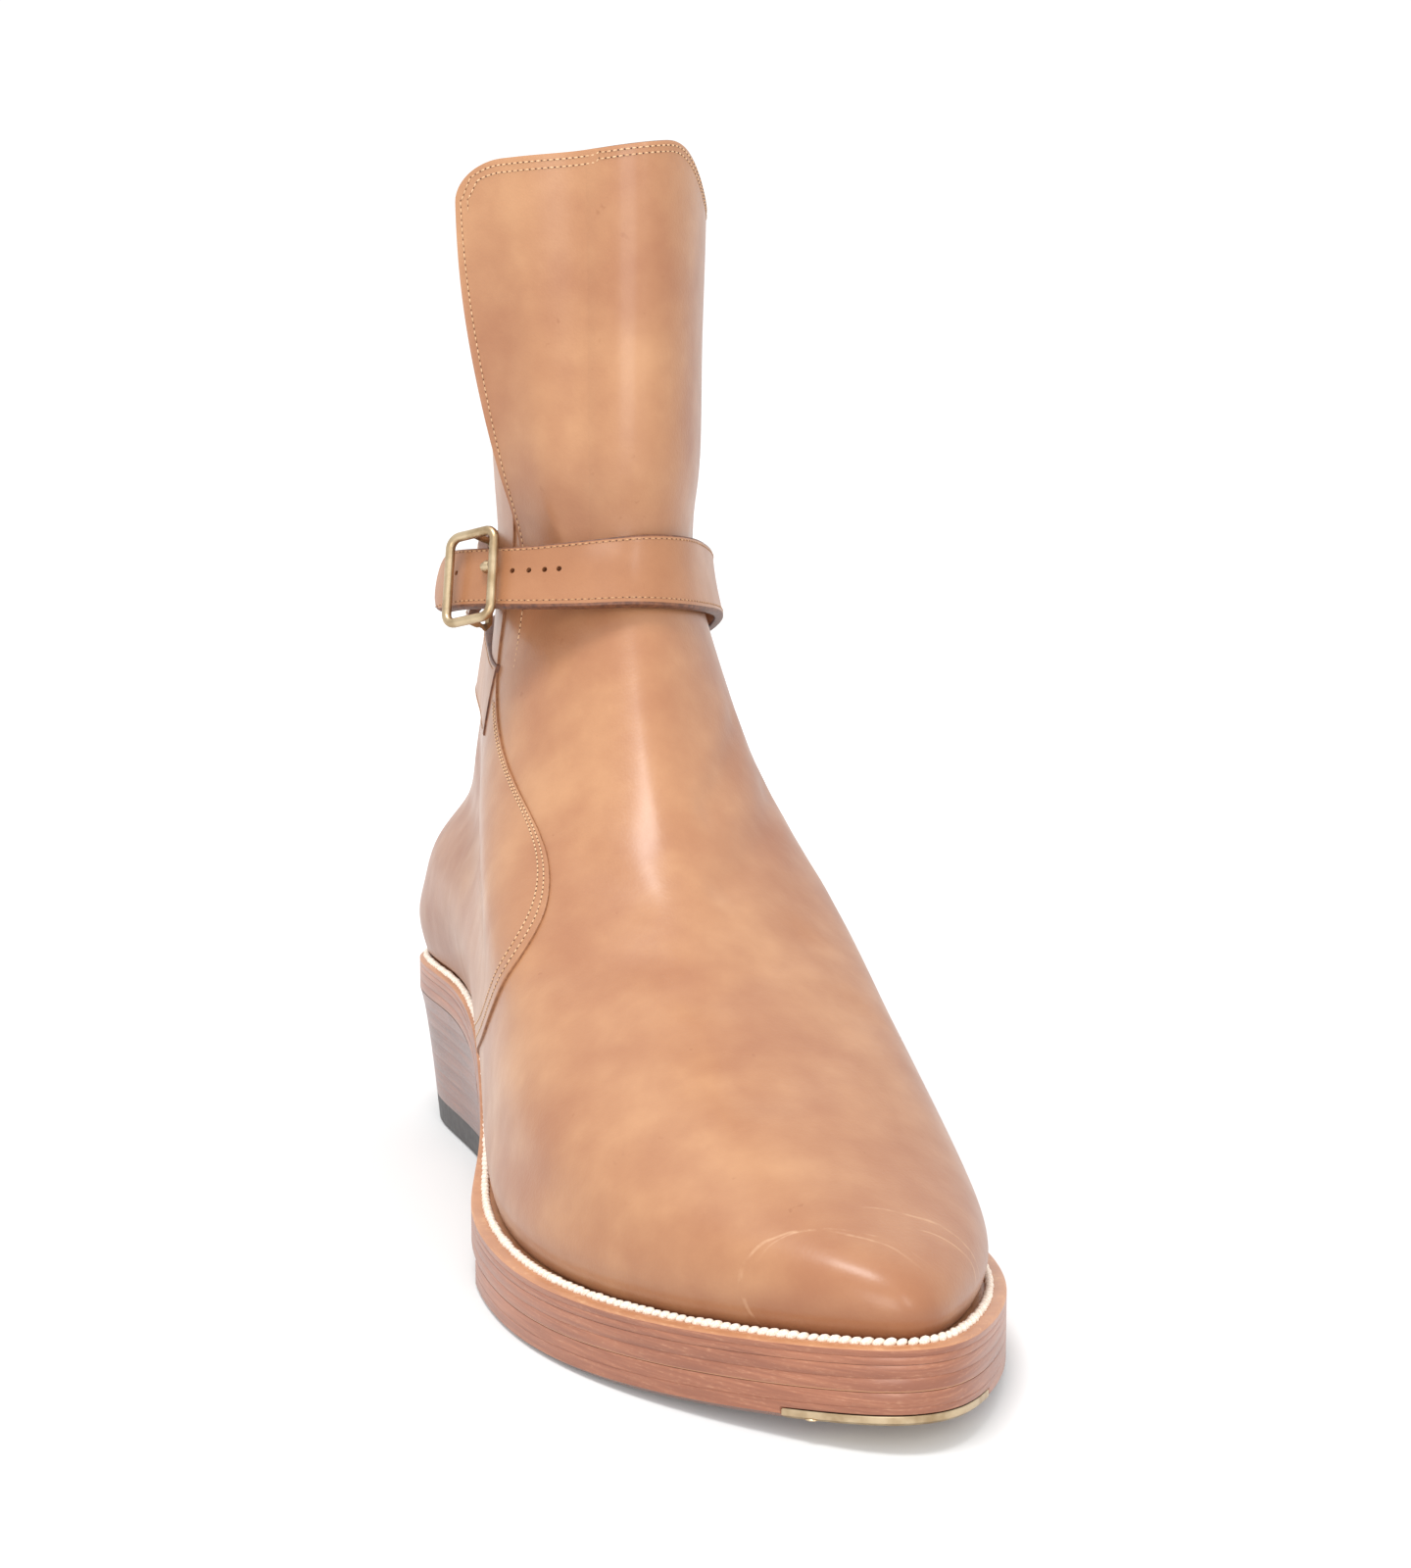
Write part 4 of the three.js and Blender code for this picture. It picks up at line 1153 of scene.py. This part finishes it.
# Each row: turn in half turns, rise as a share of the ankle's height, lift in strap thicknesses
wrap_rows = [
    (0.54, -0.31, -0.55),
    (0.42, -0.29, -0.4),
    (0.27, -0.26, lying),
    (0.0, -0.21, over_strip * 1.4),
    (-0.1, -0.195, over_strap),
    (-0.21, -0.17, over_strap),
    (-0.33, -0.14, over_strap),
    (-0.45, -0.085, over_strap * 1.05),
    (-0.65, -0.025, lying * 2),
    (-0.85, 0.006, lying),
    (-1.0, 0.012, lying * 1.5),
    (-1.12, 0.0, 1.4),
    (-1.2, -0.015, 2.7),
    (-1.28, -0.035, 4.6),
    (-1.36, -0.055, 6.6),
    (-1.44, -0.07, 7.0),
]
buckle_rows = [
    (0.63, -0.066, 4.2),
    (0.55, -0.05, 2.9),
    (0.42, -0.02, 1.4),
    (0.27, -0.01, over_strip),
    (0.12, -0.015, over_strip),
    (0.0, -0.02, over_strip),
    (-0.1, -0.035, over_strip),
    (-0.2, -0.075, over_strip),
    (-0.3, -0.12, over_strip),
    (-0.36, -0.14, lying * 2),
]
# Where the buckle sits, in rows of the long strap's path
buckle_at = 13.65


def place_at_height(turn, height):
    """The place on the surface at a height, found by halving."""
    low, high = np.zeros_like(turn), np.ones_like(turn)
    for _ in range(40):
        middle = (low + high) / 2
        below = surface(turn, middle)[..., 2] < height
        low, high = np.where(below, middle, low), np.where(below, high, middle)
    return (low + high) / 2


class StrapPath:
    """Where a strap's middle runs, counted in rows of its path."""

    def __init__(self, rows):
        self.rows = rows
        self.curve = smooth_through([(i, *row) for i, row in enumerate(rows)])

    def place(self, at):
        turn, rise, lift = np.moveaxis(self.curve(np.asarray(at, float)), -1, 0)
        turn = turn * pi
        return turn, place_at_height(turn, strap_height + rise * ankle_rise), lift * strap_thickness

    def middle(self, at):
        turn, place, lift = self.place(at)
        return raised(turn, place, lift)

    def direction(self, at):
        near = 0.02
        last = len(self.rows) - 1
        return unit(self.middle(np.minimum(at + near, last)) - self.middle(np.maximum(at - near, 0)))

    def point(self, at, across, height):
        """A point on the strap: across in millimetres from its middle, height above its underside."""
        at, across, height = np.broadcast_arrays(*(np.asarray(a, float) for a in (at, across, height)))
        turn, place, lift = self.place(at)
        heading = self.direction(at)
        along, up, normal = directions(turn, place)
        reach = unit(np.cross(normal, heading)) * across[..., None]
        aa, ab, bb = (np.sum(a * b, -1) for a, b in ((along, along), (along, up), (up, up)))
        ra, rb = np.sum(reach * along, -1), np.sum(reach * up, -1)
        det = aa * bb - ab * ab
        t = turn + (ra * bb - rb * ab) / det
        v = place + (rb * aa - ra * ab) / det
        facing = directions(t, v)[2]
        facing = unit(facing - np.sum(facing * heading, -1)[..., None] * heading)
        return raised(t, v, lift) + facing * height[..., None], facing


wrap_path, buckle_path = StrapPath(wrap_rows), StrapPath(buckle_rows)
for title, path in (("long", wrap_path), ("short", buckle_path)):
    run = path.middle(np.linspace(0, len(path.rows) - 1, 400))
    print(title, "strap:", round(float(np.linalg.norm(np.diff(run, axis=0), axis=1).sum())), "mm")

# %% [markdown]
# ## Strap leather
# A strap is cut flat and bent round the boot. One section with softened corners is carried along the path
# and leans with the surface under it, so both of its edges lie close. The free end is drawn in to a round
# tip, and the holes are punched through with small cylinders.

# %% Strap leather
def strap_profile():
    """Shares of half width and of height round the strap's section, and the finish at each point."""
    top = [(x, 1.0, 0) for x in np.linspace(-0.93, 0.93, 9)]
    right = [(0.985, 0.93, 1), (1.0, 0.7, 1), (1.0, 0.3, 1), (0.985, 0.07, 1)]
    bottom = [(x, 0.0, 2) for x in np.linspace(0.93, -0.93, 9)]
    left = [(-a, 1 - h, k) for a, h, k in right]
    return np.array(top + right + bottom + left)


def strap(name, path, count, end_round):
    """end_round: how far the end narrows to its tip, or 0 for a square end."""
    last = len(path.rows) - 1
    at = np.linspace(0, last, count)
    middle = path.middle(at)
    length = np.concatenate([[0], np.cumsum(np.linalg.norm(np.diff(middle, axis=0), axis=1))])
    left = length[-1] - length
    narrowing = np.sqrt(np.clip(1 - (1 - np.clip(left / end_round, 0, 1)) ** 2, 0.01, 1)) if end_round else 1
    half = strap_width / 2 * narrowing * np.ones(count)
    shape = strap_profile()
    across, above = half[:, None] * shape[None, :, 0], strap_thickness * shape[None, :, 1]
    points, _ = path.point(at[:, None], across, above)
    sides = len(shape)
    faces = grid_faces(count, sides, 0, True)
    kind, following = shape[:, 2], np.roll(shape[:, 2], -1)
    around = np.where(kind + following > 0, 1, 0)
    around = np.where((kind == 2) & (following == 2), 2, around)
    kinds = np.tile(around, count - 1).tolist()
    faces += [list(range(sides)), [(count - 1) * sides + i for i in range(sides)]]
    kinds += [1, 1]
    return new_object(name, points, faces, [strap_leather, cut_edge, lining], kinds)


wrap = strap("wrap_strap_leather", wrap_path, 420, strap_width / 2)
# The prong's hole, the four before it and the one past the frame, in rows of the path from the buckle
hole_offsets = (-0.29, -0.71, -1.06, -1.41, -1.76, 0.52)
hole_radius, punch_length = 0.00065, 0.012
punches = []
for offset in hole_offsets:
    base, facing = wrap_path.point(buckle_at + offset, 0.0, 0.0)
    centre = Vector((base + shift) / 1000)
    bpy.ops.mesh.primitive_cylinder_add(vertices=16, radius=hole_radius, depth=punch_length, location=centre)
    punch = bpy.context.object
    punch.rotation_euler = Vector(facing).to_track_quat("Z", "Y").to_euler()
    bpy.context.view_layer.update()
    carve(wrap, punch)
    punches.append(punch)
finished(wrap, sharp=40)
for punch in punches:
    bpy.data.objects.remove(punch)
dress(wrap, "strap_leather", "wrap_strap")

under = strap("buckle_strap_leather", buckle_path, 200, 0)
finished(under, sharp=40)
dress(under, "strap_leather", "buckle_strap")

# %% [markdown]
# ## Buckle
# The buckle is a bent brass wire, so its frame is a round section swept round a rounded rectangle. A bar
# joins its upper and lower sides under the strap, and the prong comes up through the strap's hole and
# rests on the frame.

# %% Buckle frame, bar and prong
buckle_length, buckle_height, buckle_wire, buckle_corner, strap_sag = 16, 24, 2.3, 2.7, 1.4
buckle_turn, buckle_drop = 0.16, 2.2
bar_radius, bar_bend = 0.9, 1.2
origin, facing = wrap_path.point(buckle_at, 0.0, 0.0)
straight = wrap_path.direction(buckle_at)
downward = np.cross(facing, straight)
heading = straight * math.cos(buckle_turn) + downward * math.sin(buckle_turn)
sideways = np.cross(facing, heading)


def in_buckle(points):
    """The buckle's own directions: along the strap, down across it and outward."""
    points = np.asarray(points, float)
    return origin + points[..., :1] * heading + points[..., 1:2] * sideways + points[..., 2:] * facing


def swept(name, path, radii, closed=False, sides=14):
    """A round brass section along points in the buckle's own directions. radii: one for each point."""
    path = np.asarray(path, float)
    ahead = np.roll(path, -1, 0) - np.roll(path, 1, 0) if closed else np.gradient(path, axis=0)
    ahead = unit(ahead)
    side = unit(np.cross(ahead, [0.05, 0.03, 1.0]))
    over = np.cross(side, ahead)
    angles = np.linspace(0, 2 * pi, sides, endpoint=False)
    radii = np.broadcast_to(radii, (len(path),))[:, None, None]
    ring = side[:, None] * np.cos(angles)[None, :, None] + over[:, None] * np.sin(angles)[None, :, None]
    points = in_buckle(path[:, None] + ring * radii)
    count = len(path)
    faces = grid_faces(count, sides, 0, True)
    if closed:
        faces += rim_faces(np.arange(sides) + (count - 1) * sides, np.arange(sides), True)
    else:
        faces += [list(range(sides)), [(count - 1) * sides + i for i in range(sides)]]
    return new_object(name, points, faces, [brass])


def rounded_rectangle(length, height, corner, z, per_corner=10):
    """The middle line of the buckle's wire."""
    points = []
    for cx, cy, start in ((1, 1, 0), (-1, 1, 0.5), (-1, -1, 1), (1, -1, 1.5)):
        for a in np.linspace(start * pi, (start + 0.5) * pi, per_corner):
            x = cx * (length / 2 - corner) + corner * math.cos(a)
            y = cy * (height / 2 - corner) + corner * math.sin(a)
            points.append((x, y + buckle_drop, z))
    return points


wire = buckle_wire / 2
frame_height = strap_thickness + strap_sag + 1.1
frame_length, frame_width = buckle_length - buckle_wire, buckle_height - buckle_wire
frame_path = rounded_rectangle(frame_length, frame_width, buckle_corner, frame_height)
ring = swept("buckle_frame", frame_path, wire, True)
reach = frame_width / 2
bar_height = -gap - bar_radius - strap_sag
bar_end = [(reach, frame_height), (reach, 1.5)]
bar_end += [(reach, bar_height + bar_bend), (reach - bar_bend, bar_height)]
bar_path = [(0, buckle_drop - y, z) for y, z in bar_end]
bar_path += [(0, buckle_drop + y, z) for y, z in reversed(bar_end)]
bar = swept("buckle_bar", bar_path, bar_radius)
finished(bar)
finished(ring)
dress(ring, "brass", "buckle")
dress(bar, "brass")
# The prong from the bar to its tip: along the strap, height above its underside, radius
prong_rows = [
    (-1.4, bar_height, 1.0),
    (-2.2, 0.6, 1.0),
    (-2.6, 2.4, 1.1),
    (-3.4, 3.6, 1.35),
    (-4.4, 3.9, 1.4),
    (-5.2, 3.9, 1.1),
    (-5.5, 3.9, 0.3),
]
prong = swept("buckle_prong", [(x, 0, z) for x, z, _ in prong_rows], [radius for *_, radius in prong_rows])
finished(prong)
dress(prong, "brass", "buckle_stud")

# %% [markdown]
# ## Back strip
# The strip runs from the heel seat to the top line, flat on the shell, sewn down along both sides. It is
# a sheet like the others, and a small function gives any point on it from millimetres across and up, which
# the stitches and the embroidery then share.

# %% Back strip
strip_width, strip_underside = 28, 0.4
# Where the strip starts, as a place on the surface
strip_foot = 0.25 / 24
strip_places = np.linspace(strip_foot, 1, 400) * float(panel_top(0.0))
strip_line = surface(np.zeros(400), strip_places)
strip_length = np.concatenate([[0], np.cumsum(np.linalg.norm(np.diff(strip_line, axis=0), axis=1))])
print("back strip:", round(strip_length[-1], 1), "mm long")


def strip_point(across, height, above):
    """A point on the strip: across from its middle, height up from its foot, above the shell."""
    across, height, above = np.broadcast_arrays(*(np.asarray(a, float) for a in (across, height, above)))
    place = np.interp(height, strip_length, strip_places)
    zero = np.zeros_like(place)
    along, up, _ = directions(zero, place)
    turn = across / np.linalg.norm(along, axis=-1)
    for _ in range(3):
        reached = np.abs(surface(turn, place)[..., 0] - surface(zero, place)[..., 0])
        bow = surface(turn, place)[..., 1] - surface(zero, place)[..., 1]
        turn = turn * np.abs(across) / np.maximum(1e-6, np.hypot(reached, bow))
    return raised(turn, place, above), directions(turn, place)[2]


# A hair off the middle, so that no point has zero turn
off_middle = 1e-4
columns = np.linspace(-strip_width / 2, strip_width / 2, 25) + off_middle
a, h = np.meshgrid(columns, np.linspace(0, strip_length[-1], 160))
outer, _ = strip_point(a, h, overlay_gap + strip_thickness)
inner, _ = strip_point(a, h, strip_underside)
strip = sheet("back_strip_leather", outer, inner, [strip_leather, cut_edge, cut_edge])
finished(strip, 0.35)
dress(strip, "strip_leather", "back_strip")

# %% [markdown]
# ## Rows of stitches
# A boot has thousands of stitches, all alike. Geometry Nodes lay them: a path is resampled at the stitch's
# pitch, a small bead is set on each point and turned along the path and away from the
# leather, and the result becomes one plain mesh. A second tree sets beads on loose points, for
# embroidery and nails, where each point carries its own size.


# %% Trees for rows and for points
def bead_tree(name, on_path):
    tree = bpy.data.node_groups.new(name, "GeometryNodeTree")
    tree.interface.new_socket("Path", in_out="INPUT", socket_type="NodeSocketGeometry")
    for title in ("Pitch", "Length", "Width", "Height", "Ahead", "Slant", "Variation"):
        tree.interface.new_socket(title, in_out="INPUT", socket_type="NodeSocketFloat")
    tree.interface.new_socket("Seed", in_out="INPUT", socket_type="NodeSocketInt")
    tree.interface.new_socket("Material", in_out="INPUT", socket_type="NodeSocketMaterial")
    tree.interface.new_socket("Beads", in_out="OUTPUT", socket_type="NodeSocketGeometry")
    given = tree.nodes.new("NodeGroupInput").outputs

    def make(kind, settings=None, inputs=None, output=0):
        return node(tree, kind, settings, inputs, output).socket

    if on_path:
        curve = make("GeometryNodeMeshToCurve", None, {"Mesh": given["Path"]})
        spaced = {"Curve": curve, "Length": given["Pitch"]}
        points = make("GeometryNodeResampleCurve", {"mode": "LENGTH"}, spaced)
    else:
        points = make("GeometryNodeMeshToPoints", None, {"Mesh": given["Path"]})

    def attribute(title):
        return make("GeometryNodeInputNamedAttribute", {"data_type": "FLOAT_VECTOR"}, {"Name": title})

    ball = make("GeometryNodeMeshUVSphere", None, {"Segments": 8, "Rings": 5, "Radius": 0.5})
    scale = make("ShaderNodeCombineXYZ", None, {0: given["Length"], 1: given["Width"], 2: given["Height"]})
    moved = make("ShaderNodeCombineXYZ", None, {0: given["Ahead"]})
    turned_by = make("ShaderNodeCombineXYZ", None, {2: given["Slant"]})
    shape = {"Geometry": ball, "Translation": moved, "Rotation": turned_by, "Scale": scale}
    bead = make("GeometryNodeTransform", None, shape)
    heading = make("FunctionNodeAlignRotationToVector", {"axis": "X"}, {"Vector": attribute("along")})
    upright = {"Rotation": heading, "Vector": attribute("out")}
    standing = make("FunctionNodeAlignRotationToVector", {"axis": "Z", "pivot_axis": "X"}, upright)
    low = make("ShaderNodeMath", {"operation": "SUBTRACT"}, {0: 1.0, 1: given["Variation"]})
    high = make("ShaderNodeMath", {"operation": "ADD"}, {0: 1.0, 1: given["Variation"]})
    limits = {2: low, 3: high, "Seed": given["Seed"]}
    size = make("FunctionNodeRandomValue", {"data_type": "FLOAT"}, limits, 1)
    full = make("ShaderNodeVectorMath", {"operation": "SCALE"}, {0: attribute("size"), "Scale": size})
    on_points = {"Points": points, "Instance": bead, "Rotation": standing, "Scale": full}
    set_out = make("GeometryNodeInstanceOnPoints", None, on_points)
    real = make("GeometryNodeRealizeInstances", None, {"Geometry": set_out})
    done = make("GeometryNodeSetMaterial", None, {"Geometry": real, "Material": given["Material"]})
    tree.links.new(done, tree.nodes.new("NodeGroupOutput").inputs[0])
    return tree


row_tree = bead_tree("row_of_beads", True)
point_tree = bead_tree("scattered_beads", False)


bead_seed = 1


def beads(name, points, out, look, pitch, length, width, height, ahead=0.0, slant=0.0,
          vary=0.08, along=None, size=None, closed=False, on_path=True):
    """Beads along a path, or on loose points. Sizes in millimetres."""
    points, out = np.asarray(points, float), np.asarray(out, float)
    count = len(points)
    edges = [(i, i + 1) for i in range(count - 1)] + ([(count - 1, 0)] if closed else [])
    mesh = bpy.data.meshes.new(name)
    mesh.from_pydata(((points + shift) / 1000).tolist(), edges if on_path else [], [])
    if along is None:
        along = np.roll(points, -1, 0) - np.roll(points, 1, 0) if closed else np.gradient(points, axis=0)
    vectors = {"out": unit(out), "along": unit(along), "size": np.ones((count, 3)) if size is None else size}
    for title, values in vectors.items():
        data = mesh.attributes.new(title, "FLOAT_VECTOR", "POINT").data
        data.foreach_set("vector", np.asarray(values, np.float32).ravel())
    obj = bpy.data.objects.new(name, mesh)
    bpy.context.scene.collection.objects.link(obj)
    tree = row_tree if on_path else point_tree
    lengths = {"Pitch": pitch, "Length": length, "Width": width, "Height": height, "Ahead": ahead}
    values = {title: value / 1000 for title, value in lengths.items()}
    values.update({"Slant": slant, "Variation": vary, "Seed": bead_seed, "Material": look})
    nodes = obj.modifiers.new("beads", "NODES")
    nodes.node_group = tree
    for item in tree.interface.items_tree:
        if item.name in values:
            nodes[item.identifier] = values[item.name]
    graph = bpy.context.evaluated_depsgraph_get()
    made = bpy.data.meshes.new_from_object(obj.evaluated_get(graph))
    obj.modifiers.clear()
    obj.data = made
    made.shade_smooth()
    return obj


stitch_length, hole_rise, thread_lift = 1.05, 0.16, 0.03


def stitch_row(name, points, out, slot, pitch=1.5, look=pale_thread, width=0.42):
    """Thread, and a dark bead between two stitches for the awl hole, its shade painted."""
    hole = width * 0.95
    threads = beads(name, points, out, look, pitch, stitch_length, width, width * 0.75)
    # Dark beads for the awl holes: the shade in each hole is painted
    hole_shades = beads(name + "_holes", points, out, painted_hole_shade, pitch, hole, hole, hole_rise, pitch / 2)
    for piece in (threads, hole_shades):
        dress(piece, slot)


# %% [markdown]
# ## Seams of the upper
# The upper is sewn in double rows: along the flap and the top line, down the quarter's front edge and
# round its top. Between two stitches the awl leaves a small hole, and a dark bead paints the shade in it,
# so each row is two sets of beads, half a pitch apart.

# %% Stitches of the upper
def along_place(turn, place, height, inset=0.0):
    """A path on the surface, moved down by inset."""
    place = np.asarray(place, float) - inset / height_per_place
    return raised(turn, place, height), directions(turn, place)[2]


# The flap's own coordinates in millimetres: its width, its free edge's rise, its rise at the corner
flap_width, flap_edge_rise, flap_top_rise = 34.0, 95, 88


def flap_path(inset, start):
    """A line inset from the flap's free edge, from start up to its corner and along its top edge."""
    corner = 1 - (inset + 2.5) / flap_edge_rise
    side = [(inset / flap_width, r) for r in np.linspace(start, 1, 400) if r < corner]
    top = [(a, 1 - inset / flap_top_rise) for a in np.linspace(inset / flap_width + 0.06, 1, 120)]
    return np.array(side + top)


for number, (inset, start) in enumerate(((1.2, 0.13), (2.6, 0.93))):
    line = flap_path(inset, start)
    turn, place = flap_place(line[:, 0], line[:, 1])
    height, _ = flap_height(line[:, 0], line[:, 1])
    points = raised(turn, place, height + fold_relief(turn, place) + thread_lift)
    out = directions(turn, place)[2]
    rest = np.linspace(flap_merge, 1.94 * pi, 260)
    more, more_out = along_place(rest, panel_top(rest), 0.05, inset)
    points, out = np.concatenate([points, more[1:]]), np.concatenate([out, more_out[1:]])
    stitch_row(f"top_stitches_{number + 1}", points, out, "upper_leather")

quarter_places = np.linspace(0.02, 0.5, 200)
for number, inset in enumerate((1.3, 2.8)):
    edge = quarter_edge(quarter_places) - inset / 45
    height = quarter_thickness + fold_relief(edge, quarter_places) + thread_lift
    points, out = raised(edge, quarter_places, height), directions(edge, quarter_places)[2]
    stitch_row(f"quarter_stitches_{number + 1}", points, out, "upper_leather", 1.35)

turn = np.linspace(0.17 * pi, 0.62 * pi, 160)
for number, inset in enumerate((1.3, 2.9)):
    points, out = along_place(turn, quarter_top(turn), quarter_thickness + thread_lift, inset)
    stitch_row(f"quarter_top_stitches_{number + 1}", points, out, "upper_leather")

# %% [markdown]
# ## Seams of the straps and the strip
# Each strap has one row near either edge, in a thread of its own colour, and the back strip has two. The
# points come from the piece's own coordinates, so a row keeps its distance from the edge wherever the
# strap turns.

# %% Stitches of the straps and the strip
def strap_rows(name, path, start, end, inset=1.4):
    at = np.linspace(start, end, 500)
    for side, title in ((-1, "low"), (1, "high")):
        points, out = path.point(at, side * (strap_width / 2 - inset), strap_thickness + 0.02)
        stitch_row(f"{name}_{title}", points, out, "strap_leather", 1.6, tan_thread, 0.4)


strap_rows("wrap_stitches", wrap_path, 0.15, len(wrap_rows) - 1.35)
strap_rows("buckle_strap_stitches", buckle_path, 0.2, len(buckle_rows) - 1.1)

for side, title in ((-1, "inner"), (1, "outer")):
    for number, inset in enumerate((1.3, 2.7)):
        h = np.linspace(2, strip_length[-1] - 2, 260)
        above = overlay_gap + strip_thickness + thread_lift
        points, out = strip_point(side * (strip_width / 2 - inset), h, above)
        stitch_row(f"strip_stitches_{title}_{number + 1}", points, out, "strip_leather")

# %% [markdown]
# ## Welt stitching
# All round, where the upper meets the welt, a cream thread lies in tight slanting stitches over the
# seam. It is the same row of beads, larger and turned, on a closed path just outside the upper.

# %% Welt seam
rope_on_ledge, rope_rise, rope_lean = 0.42, 0.3, 0.25
rope_pitch, rope_length, rope_width, rope_height = 2.15, 2.7, 1.8, 1.7
turn = np.linspace(0, 2 * pi, 500, endpoint=False)
xy, share = edge_point(turn, rope_on_ledge * ledge(turn))
seam = np.column_stack([xy, feather_height(share) + rope_rise])
out = unit(np.column_stack([(xy - edge_point(turn, 0.0)[0]) * rope_lean, np.ones(len(turn))]))
rope = beads("welt_seam", seam, out, welt_thread, rope_pitch, rope_length, rope_width, rope_height,
             slant=0.5, vary=0.12, closed=True)
dress(rope, "edge_leather")
print("welt seam:", round(float(np.linalg.norm(np.diff(seam, axis=0), axis=1).sum()), 0), "mm round")

# %% [markdown]
# ## Nails and screws
# Brass nails hold the half sole at its brace-shaped rear edge and the top lift round its rim, and three
# screws hold the toe plate. Each is a flat bead on a loose point that faces the ground.


# %% Nails under the sole
def nails(name, places, wide, flat):
    places = np.asarray(places, float)
    count = len(places)
    down = np.tile([0.0, 0.0, -1.0], (count, 1))
    ahead = np.tile([0.0, 1.0, 0.0], (count, 1))
    heads = beads(name, places, down, brass, 1, wide, wide, flat, along=ahead, vary=0.02, on_path=False)
    dress(heads, "brass")


def underside(x, y, below):
    """A point under the sole, at a depth below the welt's upper edge."""
    return (x, y, float(feather_height(-y / foot_length)) - below)


nail_sink, screw_sink, brace_inset, brace_clear = 0.05, 0.28, 3.2, 6
brace_nails = []
for x, y in brace_line[4:-4:3]:
    if abs(x) > brace_clear:
        brace_nails.append(underside(x * 0.97, y - brace_inset, half_sole_bottom - nail_sink))
nails("sole_nails", brace_nails, 1.8, 0.5)
rim_nails = [(x * 0.88, -40 + (y + 40) * 0.87, 0.12) for x, y, _ in heel_loop(0)[6:104:12]]
nails("heel_nails", rim_nails, 1.7, 0.5)
plate_middle = -foot_length - fore_grow + 8.5
screw_places = ((-5, plate_middle + 2.5), (8.5, plate_middle - 2), (22, plate_middle + 2.5))
plate_screws = [underside(x, y, half_sole_bottom - screw_sink) for x, y in screw_places]
nails("plate_screws", plate_screws, 3.2, 0.6)

# %% [markdown]
# ## Embroidery
# A vine climbs the back strip: a stem with pairs of red leaves, a wavy tendril on either side with small
# buds, a fan of petals at its foot and a flower at its head. Each leaf is a handful of threads
# laid side by side, longest in the middle, so it catches the light as satin stitch does.

# %% Leaves and tendrils
thread_height = overlay_gap + strip_thickness + 0.12
silk_pitch, silk_width, silk_height = 0.42, 0.5, 0.42
leaf_points, leaf_out, leaf_along, leaf_size = [], [], [], []


def leaf(across, height, angle, length, width):
    """Threads side by side. angle: 0 points up the strip."""
    count = max(3, round(width / silk_pitch))
    heading = np.array([math.sin(angle), math.cos(angle)])
    beside = np.array([heading[1], -heading[0]])
    for i in range(count):
        side = (i + 0.5) / count * 2 - 1
        long = length * math.sqrt(1 - (side * 0.85) ** 2)
        centre = np.array([across, height]) + beside * side * width / 2
        centre = centre + heading * length * 0.06 * (1 - abs(side))
        ends = [strip_point(*(centre + heading * long / 2 * s), thread_height + 0.1) for s in (-1, 1)]
        middle, out = strip_point(*centre, thread_height + 0.12 * (1 - side * side))
        leaf_points.append(middle)
        leaf_out.append(out)
        leaf_along.append(ends[1][0] - ends[0][0])
        leaf_size.append((long, silk_width, silk_height))


def fan(petals, height, reach, upward):
    """Petals that spread from one point, up the strip or down it. petals: angle and length of each."""
    for angle, long in petals:
        facing = angle if upward > 0 else pi - angle
        leaf(math.sin(angle) * reach, height + upward * math.cos(angle) * reach, facing, long, 3.4)


vine_low, vine_high = strip_length[-1] * 0.3, strip_length[-1] * 0.905
pair_pitch = 9.6
pairs = int((vine_high - vine_low) / pair_pitch)
for i in range(pairs):
    height = vine_low + 3 + i * pair_pitch
    for side in (-1, 1):
        leaf(side * 3.4, height, side * 0.62, 5.4, 2.7)
fan([(-1.15, 8.5), (-0.6, 10), (0, 11), (0.6, 10), (1.15, 8.5)], vine_low - 5, 6.5, -1)
fan([(-0.75, 7), (0, 9), (0.75, 7)], vine_high + 3, 5, 1)
wave = 15.0


def tendril(height, side):
    """How far across a tendril lies at a height up the strip."""
    return side * (7.9 + 0.9 * np.sin(2 * pi * (height - vine_low) / wave + (0.5 if side > 0 else 0) * pi))


for side in (-1, 1):
    crest = vine_low + wave * (0.25 if side < 0 else 0)
    while crest < vine_high:
        leaf(side * 10.7, crest, side * 0.75, 2.9, 2.1)
        crest += wave
leaves = beads(
    "embroidered_leaves", leaf_points, leaf_out, red_silk, 1, 1, 1, 1,
    along=leaf_along, size=np.array(leaf_size), vary=0.03, on_path=False,
)
dress(leaves, "strip_leather")

h = np.linspace(vine_low - 5, vine_high + 4, 500)
for name, side, apart in (("stem", 0, 0.28), ("tendril_inner", -1, 0.32), ("tendril_outer", 1, 0.32)):
    for number, beside in enumerate((-apart, apart)):
        across = tendril(h, side) if side else np.zeros_like(h)
        points, out = strip_point(across + beside, h, thread_height)
        twine = beads(f"{name}_{number + 1}", points, out, olive_silk, 0.85, 1.25, 0.5, 0.45, slant=0.35)
        dress(twine, "strip_leather")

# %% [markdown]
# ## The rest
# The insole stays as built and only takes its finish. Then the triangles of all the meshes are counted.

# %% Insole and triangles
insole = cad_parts["insole"]
insole.data.materials.clear()
insole.data.materials.append(insole_leather)

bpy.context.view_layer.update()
meshes = [o.data for o in bpy.data.objects if o.type == "MESH"]
print("triangles:", sum(len(face.vertices) - 2 for mesh in meshes for face in mesh.polygons))
